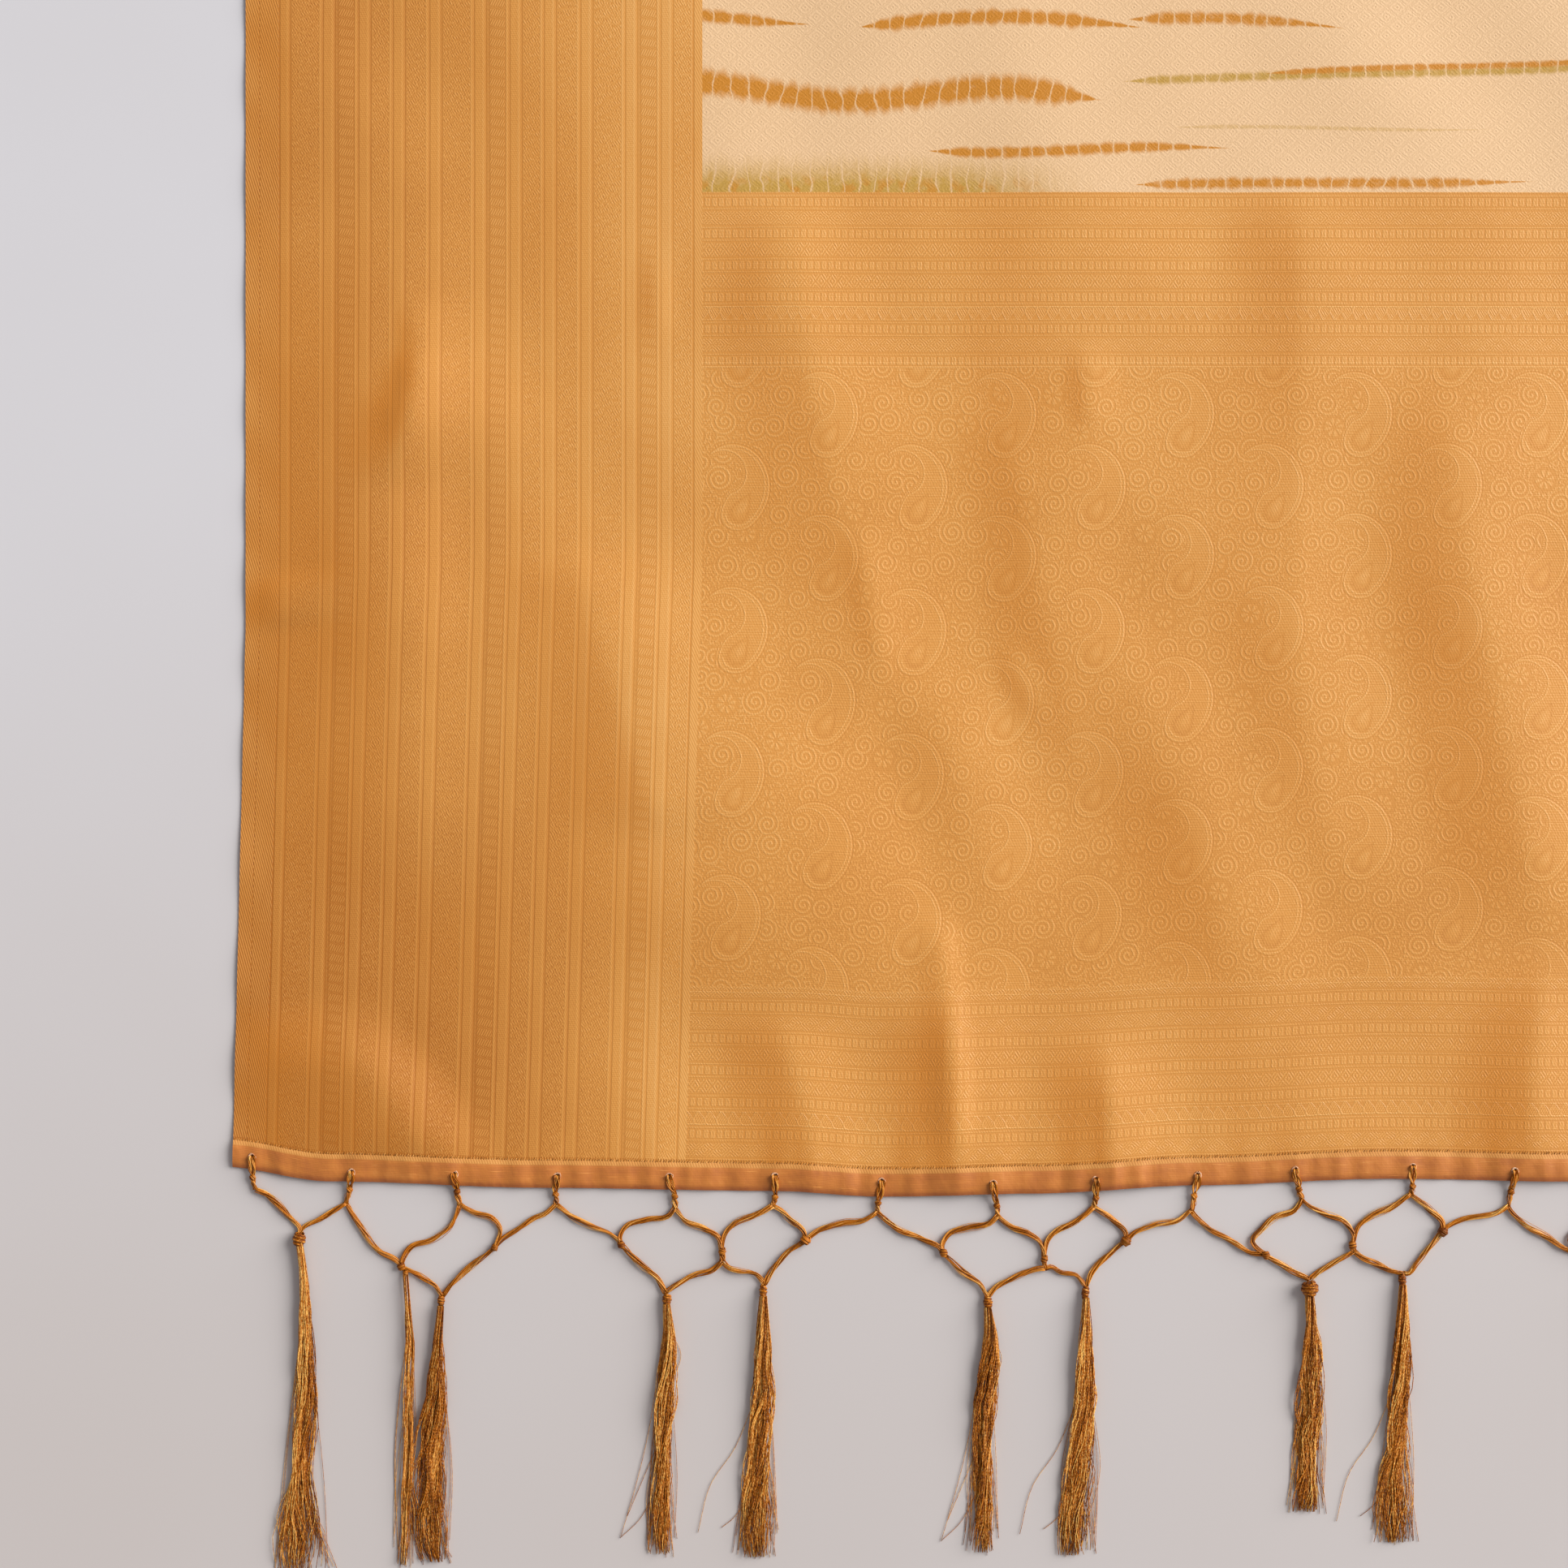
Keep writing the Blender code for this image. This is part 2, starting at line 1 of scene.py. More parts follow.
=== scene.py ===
# %% [markdown]
# # A saree laid flat, with a knotted silk fringe
# A saree is one long woven cloth. Here it lies on a table, seen from straight above, with its decorated end,
# the pallu, nearest to us. We dress the imported CAD model: thin cloth with soft creases takes the place of
# each flat wall, and hundreds of loose threads take the place of each solid strand. First the imported model
# is loaded.

# %% Load the imported model
import functools
import json
import math
from collections import namedtuple

import bpy
import numpy as np
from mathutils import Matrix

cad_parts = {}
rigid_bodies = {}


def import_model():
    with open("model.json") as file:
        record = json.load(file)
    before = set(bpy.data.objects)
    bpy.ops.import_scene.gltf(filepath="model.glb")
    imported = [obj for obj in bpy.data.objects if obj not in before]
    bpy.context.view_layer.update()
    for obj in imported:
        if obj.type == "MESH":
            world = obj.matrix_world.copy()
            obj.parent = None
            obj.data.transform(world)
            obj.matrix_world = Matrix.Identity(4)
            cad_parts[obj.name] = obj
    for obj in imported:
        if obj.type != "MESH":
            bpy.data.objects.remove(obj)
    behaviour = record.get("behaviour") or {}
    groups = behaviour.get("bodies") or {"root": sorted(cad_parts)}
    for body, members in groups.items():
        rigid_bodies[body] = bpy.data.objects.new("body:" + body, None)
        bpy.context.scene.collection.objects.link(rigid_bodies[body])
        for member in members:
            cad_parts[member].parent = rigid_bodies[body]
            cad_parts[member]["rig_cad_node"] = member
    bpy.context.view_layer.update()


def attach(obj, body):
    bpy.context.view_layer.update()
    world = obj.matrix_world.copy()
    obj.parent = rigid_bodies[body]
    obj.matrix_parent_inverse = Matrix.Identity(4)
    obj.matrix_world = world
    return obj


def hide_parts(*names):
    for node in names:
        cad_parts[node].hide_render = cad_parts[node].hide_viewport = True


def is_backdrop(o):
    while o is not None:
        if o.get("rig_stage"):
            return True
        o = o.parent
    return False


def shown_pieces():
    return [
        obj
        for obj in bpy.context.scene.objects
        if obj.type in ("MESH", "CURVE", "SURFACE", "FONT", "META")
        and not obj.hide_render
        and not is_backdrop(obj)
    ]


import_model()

# %% [markdown]
# ## Where things are
# Cloth is easiest to describe as it was cut: u runs across it from the left selvedge and v runs up it from
# the fringed hem, in millimetres. A second pair of numbers says where a point came to lie on the table. The
# fringe was measured on the table itself. One pixel of the photo is 0.4 mm of cloth.

# %% Sizes of the cloth
MM = 0.001
TIE_SEED, NET_SEED, TASSEL_SEED, STITCH_SEED, FUZZ_SEED = 100, 200, 300, 400, 500
WIDTH, LENGTH = 1100.0, 5500.0
BORDER, PALLU_TOP, HEM = 225.0, 487.0, 13.5
FRINGE_REACH = 194.0
REPEAT = 156.0
MIDDLE_U, MIDDLE_V = WIDTH / 2, (LENGTH - FRINGE_REACH) / 2
PIXEL, SELVEDGE_PX, HEM_PX = 0.4, 303.0, 1455.0


def from_photo(points):
    """Turns (x, y, ...) pixels into (u, v, ...): u counts right from the selvedge and v up from the hem."""
    points = np.array(points, float)
    points[:, 0] = (points[:, 0] - SELVEDGE_PX) * PIXEL
    points[:, 1] = (HEM_PX - points[:, 1]) * PIXEL
    return points


def ease(t):
    """3t^2 - 2t^3 between 0 and 1, and flat outside: a step without corners."""
    t = np.clip(t, 0.0, 1.0)
    return t * t * (3.0 - 2.0 * t)


# %% How the laid cloth departs from a straight rectangle
HEM_LINE = np.array([
    (-6, 7.2), (51, 0), (155, -3.2), (271, -4.8), (319, -7.6), (391, -6), (471, -2), (559, 1.2),
    (650, 0), (780, -4.4), (900, -5.6), (1020, -1.2), (1106, 6),
])
DRIFT = np.array([
    (0, 6.4, 270), (60, 8.4, 300), (225, 8.6, 306), (550, 0, 306),
    (875, -8.6, 306), (1040, -8.4, 300), (1100, -6.4, 270),
])


def hem_line(u):
    """The height of the hem's lower edge at u: eased from each measured point to the next."""
    at = np.clip(np.searchsorted(HEM_LINE[:, 0], u, side="right") - 1, 0, len(HEM_LINE) - 2)
    low, high = HEM_LINE[at], HEM_LINE[at + 1]
    part = (u - low[..., 0]) / (high[..., 0] - low[..., 0])
    return low[..., 1] + (high[..., 1] - low[..., 1]) * ease(part)


def hem_change(u, shift):
    """How much higher the hem line lies at u + shift than at u."""
    return float(hem_line(u + shift) - hem_line(u))


def laid(u, v):
    """A cut point's place on the table: aside by a drift that fades upwards, and up by the hem line."""
    left = np.interp(u, DRIFT[:, 0], DRIFT[:, 1])
    fades_at = np.interp(u, DRIFT[:, 0], DRIFT[:, 2])
    return u - left * np.clip(1.0 - v / fades_at, 0.0, 1.0), v + hem_line(u) * (1.0 - ease(v / 420.0))


print("the hem line runs from", float(hem_line(0.0)), "to", float(hem_line(WIDTH)), "mm")

# %% [markdown]
# ## Camera, light and table
# The photo was taken from straight above, so the camera hangs over the middle of the picture and looks down.
# One soft light from the right stands so low that every crease is bright on its right and dark on its left,
# and every woven thread shows. The sky light fills the shadows. The Standard view leaves the colours as they
# were dyed.

# %% Camera, light and table
PHOTO_MIDDLE, PHOTO_SIDE = 966.0, 1932.0
CAMERA_HEIGHT = 1.8
centre = from_photo([(PHOTO_MIDDLE, PHOTO_MIDDLE)])[0] - (MIDDLE_U, MIDDLE_V)
camera_data = bpy.data.cameras.new("overhead camera")
camera_data.sensor_width = 36.0
camera_data.lens = camera_data.sensor_width * CAMERA_HEIGHT / (PHOTO_SIDE * PIXEL * MM)
camera = bpy.data.objects.new("overhead camera", camera_data)
camera.location = (centre[0] * MM, centre[1] * MM, CAMERA_HEIGHT)
bpy.context.scene.collection.objects.link(camera)
bpy.context.scene.camera = camera


def aim(obj, target):
    """Turns a lamp so that it shines from where it is to the target."""
    towards = np.array(target) - np.array(obj.location)
    obj.rotation_euler = (
        math.acos(-towards[2] / np.linalg.norm(towards)),
        0.0,
        math.atan2(towards[1], towards[0]) - math.pi / 2,
    )


def add_lamp(name, kind, place, target, strength, **settings):
    data = bpy.data.lights.new(name, kind)
    data.energy = strength
    for key, value in settings.items():
        setattr(data, key, value)
    lamp = bpy.data.objects.new(name, data)
    lamp.location = place
    bpy.context.scene.collection.objects.link(lamp)
    aim(lamp, target)
    return lamp


focus = (centre[0] * MM, centre[1] * MM, 0.0)
add_lamp("window", "SUN", (focus[0] + 2.0, focus[1] + 0.9, 1.12), focus, 4.3, angle=math.radians(50))
add_lamp("side fill", "AREA", (focus[0] + 1.5, focus[1] + 0.3, 1.1), focus, 5.0, size=0.9)

world = bpy.data.worlds.new("studio")
world.use_nodes = True
world.node_tree.nodes["Background"].inputs["Color"].default_value = (0.98, 0.97, 1.0, 1.0)
world.node_tree.nodes["Background"].inputs["Strength"].default_value = 0.365
bpy.context.scene.world = world
bpy.context.scene.view_settings.view_transform = "Standard"

# %% [markdown]
# ## A small language for materials
# Woven patterns are sums and products of stripes, and each stripe is a formula in u and v. Writing those
# formulas as Blender nodes by hand takes many lines, so a small class lets ordinary arithmetic write the
# Math nodes.

# %% Arithmetic that writes Math nodes
def connect(value, slot):
    """Links a Value to a node's input, or sets a plain number or colour on it."""
    if isinstance(value, Value):
        value.tree.links.new(value.socket, slot)
    else:
        slot.default_value = value


class Value:
    """A number that varies over a surface. Arithmetic on it adds Math nodes to the same material."""

    def __init__(self, socket):
        self.socket = socket
        self.tree = socket.id_data

    def math(self, operation, *others, clamp=False):
        node = self.tree.nodes.new("ShaderNodeMath")
        node.operation = operation
        node.use_clamp = clamp
        for slot, value in zip(node.inputs, (self, *others)):
            connect(value, slot)
        return Value(node.outputs[0])

    def __add__(self, other):
        return self.math("ADD", other)

    def __sub__(self, other):
        return self.math("SUBTRACT", other)

    def __rsub__(self, other):
        return self.math("MULTIPLY_ADD", -1.0, other)

    def __mul__(self, other):
        return self.math("MULTIPLY", other)

    def __truediv__(self, other):
        return self.math("DIVIDE", other)

    def __abs__(self):
        return self.math("ABSOLUTE")

    __radd__ = __add__
    __rmul__ = __mul__


def wave(x):
    """0.5 + 0.5 sin(2 pi x): one soft stripe to each whole step of x."""
    return (x * (2.0 * math.pi)).math("SINE").math("MULTIPLY_ADD", 0.5, 0.5)


def tent(x):
    """0 at each whole x, straight up to 1 half-way, and straight down again."""
    return x.math("PINGPONG", 0.5) * 2.0


def wrap(x, size):
    """x with whole sizes taken off, so that it runs from 0 to size again and again."""
    return x.math("WRAP", size, 0.0)


def line(x, at, half):
    """1 where x is at, straight down to 0 at half to either side."""
    return abs(x - at).math("MULTIPLY_ADD", -1.0 / half, 1.0, clamp=True)


def smooth(x, low, high):
    """0 below low, 1 above high, and an eased step between."""
    node = x.tree.nodes.new("ShaderNodeMapRange")
    node.interpolation_type = "SMOOTHSTEP"
    for key, value in (("Value", x), ("From Min", low), ("From Max", high)):
        connect(value, node.inputs[key])
    return Value(node.outputs["Result"])


def between(x, low, high, soft=0.1):
    """1 from low to high and 0 outside, with soft edges."""
    return smooth(x, low - soft, low + soft) * (1.0 - smooth(x, high - soft, high + soft))


def mix(a, b, share):
    """a where share is 0 and b where it is 1."""
    return (b - a) * share + a


def ramp(x, stops, kind="LINEAR"):
    """A colour ramp over x from 0 to 1, with stops (place, (red, green, blue)), joined as the kind says."""
    node = x.tree.nodes.new("ShaderNodeValToRGB")
    node.color_ramp.interpolation = kind
    elements = node.color_ramp.elements
    while len(elements) < len(stops):
        elements.new(1.0)
    for element, (place, colour) in zip(elements, stops):
        element.position = place
        element.color = (*colour, 1.0)
    connect(x, node.inputs["Fac"])
    return Value(node.outputs["Color"])


def parts(colour):
    """The red, green and blue of a colour."""
    node = colour.tree.nodes.new("ShaderNodeSeparateColor")
    connect(colour, node.inputs[0])
    return [Value(socket) for socket in node.outputs]


def vector(x, y, z=0.0):
    """Three numbers as one place."""
    node = x.tree.nodes.new("ShaderNodeCombineXYZ")
    for slot, value in zip(node.inputs, (x, y, z)):
        connect(value, slot)
    return Value(node.outputs[0])


def split(place):
    """The three numbers of a place."""
    node = place.tree.nodes.new("ShaderNodeSeparateXYZ")
    connect(place, node.inputs[0])
    return [Value(socket) for socket in node.outputs]


def noise(u, v, size_u, size_v, seed=0.0, detail=2.0):
    """Cloudy noise from 0 to 1, its clouds size_u by size_v millimetres."""
    node = u.tree.nodes.new("ShaderNodeTexNoise")
    node.inputs["Scale"].default_value = 1.0
    node.inputs["Detail"].default_value = detail
    connect(vector(u / size_u, v / size_v, seed), node.inputs["Vector"])
    return Value(node.outputs["Fac"])


def tinted(share, dark, light):
    """The dark colour where share is 0 and the light one where it is 1."""
    node = share.tree.nodes.new("ShaderNodeMix")
    node.data_type = "RGBA"
    connect(share, node.inputs[0])
    connect(dark if isinstance(dark, Value) else (*dark, 1.0), node.inputs[6])
    connect(light if isinstance(light, Value) else (*light, 1.0), node.inputs[7])
    return Value(node.outputs[2])


def read_map(material, uv_map):
    """The two numbers that a piece's own map holds at each place."""
    node = material.node_tree.nodes.new("ShaderNodeUVMap")
    node.uv_map = uv_map
    return split(Value(node.outputs[0]))[:2]


def new_finish(name, uv_map):
    """A new material and the two numbers of a piece's own map."""
    material = bpy.data.materials.new(name)
    material.use_nodes = True
    return material, *read_map(material, uv_map)


def painted_slope_shade(material, colour, deep):
    """Painted shade: the slopes that face left, away from the lamp, are tinted towards a deeper gold, by as
    much as the map named lean says."""
    lean = read_map(material, "lean")[0]
    return tinted(lean * 0.66, colour, deep)


def set_finish(material, colour, relief, depth, **constants):
    """Gives the shader its colour, its relief in millimetres of depth, and its constant settings."""
    tree = material.node_tree
    shader = tree.nodes["Principled BSDF"]
    connect(colour, shader.inputs["Base Color"])
    bump = tree.nodes.new("ShaderNodeBump")
    bump.inputs["Distance"].default_value = depth * MM
    connect(relief, bump.inputs["Height"])
    tree.links.new(bump.outputs["Normal"], shader.inputs["Normal"])
    for key, value in constants.items():
        shader.inputs[key.replace("_", " ")].default_value = value


# %% [markdown]
# ## The border's weave
# The long borders are woven in stripes that run up the cloth. Counted from the selvedge they are a strip of
# steep twill, and then a band 74.4 mm wide that repeats: a stripe of slanted dashes, and rails of two
# twisted cords with a smooth ladder between, with strips of tiny nested diamonds from rail to rail. A colour
# ramp in steps says which stripe a point is in, and in its red channel where that stripe starts. One formula
# per stripe does the rest.

# %% Border finish
GOLD_DARK, GOLD, GOLD_LIGHT = (0.39, 0.115, 0.006), (0.66, 0.283, 0.054), (0.90, 0.515, 0.178)
# The deeper gold is painted shade for slopes that face away from the lamp.
GOLD_PAINTED_SHADE = (0.66, 0.215, 0.016)
TWILL = 0.47
BAND_START, BAND = 45.5, 74.4
RAMP_BAND, RAMP_RAIL = 80.0, 10.0
STRIPES = [
    (0.0, "dashes"), (8.1, "rail"), (16.8, "grain"), (25.0, "rail"), (33.6, "grain"),
    (43.0, "rail"), (51.8, "grain"), (65.0, "rail"), (73.8, "dashes"),
]
RAIL_PROFILE = [
    (0.0, 0.4), (0.3, 0.8), (1.0, 0.75), (1.4, 0.4), (1.7, 0.5), (2.0, 0.1), (2.3, 0.1), (2.6, 0.5),
    (5.7, 0.5), (6.1, 0.8), (6.9, 0.75), (7.3, 0.4), (7.6, 0.5), (7.95, 0.1), (8.25, 0.1), (8.6, 0.4),
]


def gold(tone):
    """The cloth's gold: dark where tone is low and light where it is high."""
    return ramp(tone, [(0.05, GOLD_DARK), (0.45, GOLD), (0.9, GOLD_LIGHT)])


def twill(x, v, pitch):
    """Slanted threads, so many millimetres from one to the next: the wave of (x + 0.47 v) / pitch."""
    return wave((x + v * TWILL) / pitch)


def stitch_shadow_dots(u, v):
    """Painted shade: a row of small dark dots along the hem's upper edge, where the stitches shadow the
    cloth.
    """
    return line(v, 14.6, 0.7) * smooth(wave(u / 1.25), 0.45, 0.75)


def make_border_finish():
    material, u, v = new_finish("gold striped weave", "cloth")
    x = WIDTH / 2 - abs(u - WIDTH / 2)
    place = wrap(x - BAND_START, BAND) / RAMP_BAND
    stops = [(at / RAMP_BAND, (at / RAMP_BAND, kind == "rail", kind == "grain")) for at, kind in STRIPES]
    start, rail, grain = parts(ramp(place, stops, "CONSTANT"))
    across = (place - start) * RAMP_BAND
    stops = [(at / RAMP_RAIL, (height, height, height)) for at, height in RAIL_PROFILE]
    profile = parts(ramp(across / RAMP_RAIL, stops))[0]
    cord = 1.0 - between(across, 2.5, 5.9, 0.2)
    twist = wave((v + across * 2.2) / 2.1)
    fine = twill(across, v, 1.25)
    ladder = mix(0.55, 1.25, wave(v / 0.95) * 0.6 + fine * 0.4)
    rail_relief = profile * mix(ladder, mix(0.58, 0.92, twist), cord) + 0.06
    diamonds = wave((tent(v / 9.6) + tent(across / 8.8)) * 3.0)
    knotty = noise(u, v, 0.9, 1.6, 12.0, 1.0)
    grain_relief = mix(0.28, 0.66, fine) * mix(0.45, 1.0, diamonds) + knotty * 0.6 - 0.24
    in_block = wrap(v + across * 0.12, 4.9) - 2.45
    dashes = wave((across - v * 0.5) / 1.2)
    tucked = wave((tent(across / 2.4) * 1.2 + v) / 1.1) * 0.5
    hatch = mix(tucked, dashes, between(in_block, -1.6, 1.6, 0.3))
    dash_relief = hatch * between(across, 0.5, 7.6, 0.4) * 0.6 + 0.12
    relief = rail * rail_relief + grain * grain_relief + (1.0 - rail - grain) * dash_relief
    steep = wave((x + v * 0.325) / 1.2)
    stitches = line(x, 6.8, 0.5) * smooth(wave(v / 2.8), 0.35, 0.6)
    selvedge_relief = steep * 0.55 + 0.15 - stitches * 0.5
    edge = 1.0 - smooth(x, 16.2, 16.5)
    relief = mix(relief, selvedge_relief, edge)
    plain = smooth(x, 219.4, 219.8)
    relief = mix(relief, twill(x, v, 1.25) * 0.3 + 0.35, plain)
    groove = between(x, 16.4, 17.2, 0.15) + between(x, 220.0, 221.0, 0.2)
    relief = relief * (1.0 - groove * 0.8) + knotty * 0.30
    cloudy = noise(x, v, 60.0, 90.0, 3.0)
    slub = noise(x, v, 0.6, 14.0, 7.0)
    # Painted sheen: each border is lighter away from its selvedge, standing in for the satin's sheen.
    painted_sheen_inwards = smooth(x, 30.0, 215.0)
    # Painted shade: each border is darker towards its lower corner by the hem, and in a patch further in,
    # where the cloth slopes away from the lamp.
    painted_corner_shade = (1.0 - smooth(v, 40.0, 270.0)) * (1.0 - smooth(x, 140.0, 235.0))
    painted_middle_shade = (1.0 - smooth(v, 110.0, 340.0)) * between(x, 112.0, 188.0, 40.0)
    # The tone follows the relief, so low threads and grooves are darker: partly the weave's own tone and
    # partly painted shade in its hollows.
    tone = relief * 0.42 + cloudy * 0.20 + slub * 0.12 + painted_sheen_inwards * 0.18 - 0.09
    # Painted shade: a row of dark dots along the hem's upper edge, beside the stitches.
    tone = tone - stitch_shadow_dots(u, v) * 0.35 - painted_corner_shade * 0.12 - painted_middle_shade * 0.05
    # Painted shade: slopes that face left are tinted a deeper gold.
    colour = painted_slope_shade(material, gold(tone), GOLD_PAINTED_SHADE)
    gloss = {"Roughness": 0.50, "Specular_IOR_Level": 0.36, "Sheen_Weight": 0.12, "Sheen_Roughness": 0.4}
    set_finish(material, colour, relief, 0.145, **gloss)
    return material


border_finish = make_border_finish()
print("border finish:", len(border_finish.node_tree.nodes), "nodes")

# %% [markdown]
# ## The pallu's weave
# The pallu has a band of small geometric rows at its foot and another at its head. Each row is 7.8 mm tall:
# every second one is a row of squares, and between them are diamonds and, once, a row of drops. The space
# between is full of paisleys. A paisley is a drop bent along a spiral, so two short formulas of the angle
# round the spiral's middle draw it: how far out its middle line is, and how wide it is. The ground is filled
# with scrolls, and a scroll is a wave of (distance - angle) round the nearest of many scattered middles. All
# of it is one tone of gold on another.

# %% Helpers for patterns that use both directions at once
def vector_math(operation, *values):
    tree = values[0].tree
    node = tree.nodes.new("ShaderNodeVectorMath")
    node.operation = operation
    for slot, value in zip(node.inputs, values):
        connect(value, slot)
    return Value(node.outputs["Value" if operation == "LENGTH" else "Vector"])


def choose(near, far, share):
    """One of two vectors, by a share of 0 or 1."""
    node = share.tree.nodes.new("ShaderNodeMix")
    node.data_type = "VECTOR"
    connect(share, node.inputs[0])
    connect(near, node.inputs[4])
    connect(far, node.inputs[5])
    return Value(node.outputs[1])


def turned(place, angle):
    """A place turned round the middle by an angle in radians, which may itself vary."""
    node = place.tree.nodes.new("ShaderNodeVectorRotate")
    node.rotation_type = "Z_AXIS"
    connect(place, node.inputs["Vector"])
    connect(angle, node.inputs["Angle"])
    return Value(node.outputs[0])


# %% Paisleys
LATTICE_U, LATTICE_V = 87.6, 69.6
FIRST_MOTIF, SECOND_MOTIF = (286.8, 377.2), (330.8, 342.0)
BEND = (-8.0, 6.0)
HEAD_ANGLE, TIP_ANGLE = -65.0, 120.0
HEAD_REACH, TIP_REACH = 19.0, 12.0
HEAD_HALF, TAPER = 9.0, 1.3
DROP_MIDDLE, DROP_TURN = (1.5, -9.5), -60.0
DROP_LONG, DROP_WIDE = 7.5, 3.6


def egg(along, across, long, wide):
    """Below 1 inside an egg whose half-width shrinks to a quarter towards its tip at along = long."""
    narrowing = along.math("MULTIPLY_ADD", -0.72 / long, 1.0).math("MAXIMUM", 0.12)
    return ((along / long) * (along / long) + (across / wide / narrowing).math("POWER", 2.0)).math("SQRT")


def nearest_motif(u, v):
    """The place counted from the nearest paisley's middle, on two lattices that are half a step apart."""
    size = (LATTICE_U / 2, LATTICE_V / 2, 4.0)
    opposite = tuple(-s for s in size)
    first, second = (
        vector_math("WRAP", vector_math("SUBTRACT", vector(u, v), (*middle, 0.0)), size, opposite)
        for middle in (FIRST_MOTIF, SECOND_MOTIF)
    )
    second_is_nearer = vector_math("LENGTH", second).math("LESS_THAN", vector_math("LENGTH", first))
    return choose(first, second, second_is_nearer)


def comma_edge(motif):
    """Millimetres outside the paisley's edge (less than 0 inside), beside its middle line, and the angle
    round the bend. The middle line is a spiral, whose reach falls evenly from the head to the tip. The edge
    is a circle round the head's middle, and at a share t of the way to the tip the half-width is the head's
    times (1 - t) to the power 1.3."""
    away = vector_math("SUBTRACT", motif, (*BEND, 0.0))
    x, y, _ = split(away)
    degrees = y.math("ARCTAN2", x) * (180.0 / math.pi)
    share = (degrees - HEAD_ANGLE) / (TIP_ANGLE - HEAD_ANGLE)
    on_way = share.math("ADD", 0.0, clamp=True)
    beside = vector_math("LENGTH", away) - (HEAD_REACH + (TIP_REACH - HEAD_REACH) * on_way)
    before = (HEAD_ANGLE - degrees).math("MAXIMUM", 0.0) * math.radians(HEAD_REACH)
    past = (degrees - TIP_ANGLE).math("MAXIMUM", 0.0) * math.radians(TIP_REACH)
    distance = (beside * beside + (before + past) * (before + past)).math("SQRT")
    return distance - (1.0 - on_way).math("POWER", TAPER) * HEAD_HALF, beside, degrees


# %% Scrolls and the whole paisley ground
SCROLL = 13.6


def scrolls(u, v):
    """The height of the scrolls: at a distance d and an angle of t turns from the nearest middle, the wave
    of (d / pitch + t or - t). A few of them are flowers instead, which are waves of 8 t."""
    place = vector(u / SCROLL, v / SCROLL)
    node = u.tree.nodes.new("ShaderNodeTexVoronoi")
    node.voronoi_dimensions = "2D"
    node.inputs["Scale"].default_value = 1.0
    node.inputs["Randomness"].default_value = 0.6
    connect(place, node.inputs["Vector"])
    x, y, _ = split(vector_math("SUBTRACT", place, Value(node.outputs["Position"])))
    distance = Value(node.outputs["Distance"]) * SCROLL
    turns = y.math("ARCTAN2", x) / (2.0 * math.pi)
    way, size, kind = parts(Value(node.outputs["Color"]))
    curl = smooth(wave(distance / 2.35 + turns * (way.math("GREATER_THAN", 0.5) * 2.0 - 1.0)), 0.25, 1.0)
    petals = wave(turns * 8.0) * between(distance, 1.3, 4.6, 0.4)
    drawn = mix(curl, petals, kind.math("GREATER_THAN", 0.86))
    reach = size * 1.8 + 5.0
    speckle = smooth(noise(u, v, 1.2, 1.2, 5.0, 0.0), 0.42, 0.66) * 0.8
    return mix(drawn, speckle, smooth(distance - reach, -0.3, 0.6))


def paisley_relief(u, v):
    """The height of the paisley ground, and how dark it is woven: a double line round each paisley, beads on
    its inner side, a ribbed body, and in it a drop with a dark edge and a light heart."""
    motif = nearest_motif(u, v)
    edge, beside, degrees = comma_edge(motif)
    inside = 1.0 - smooth(edge, -0.3, 0.3)
    near = 1.0 - smooth(edge, 2.2, 2.8)
    right = smooth(beside, -0.5, 0.5)
    rim = line(edge, 0.0, 0.6) + line(edge, -1.8, 0.55) * right * 0.8 - line(edge, 0.95, 0.45) * right * 0.5
    beads = line(edge, 1.4, 0.9) * wave(degrees / 6.0)
    from_drop = vector_math("SUBTRACT", motif, (*DROP_MIDDLE, 0.0))
    along, across, _ = split(turned(from_drop, math.radians(DROP_TURN)))
    drop = egg(along, across, DROP_LONG, DROP_WIDE)
    in_drop = 1.0 - smooth(drop, 0.95, 1.1)
    heart = (1.0 - smooth(drop, 0.2, 0.75)) * 0.35 + 0.3
    body = mix(wave(v / 1.3) * 0.4 + 0.15, heart, in_drop)
    relief = mix(mix(scrolls(u, v) * 0.8, beads * 0.8, near), body, inside) + rim * 0.85
    dark = line(drop, 1.0, 0.25) + inside * 0.12
    return relief.math("MINIMUM", 1.1), dark


# %% Rows of squares, diamonds and drops
ROW = 7.8


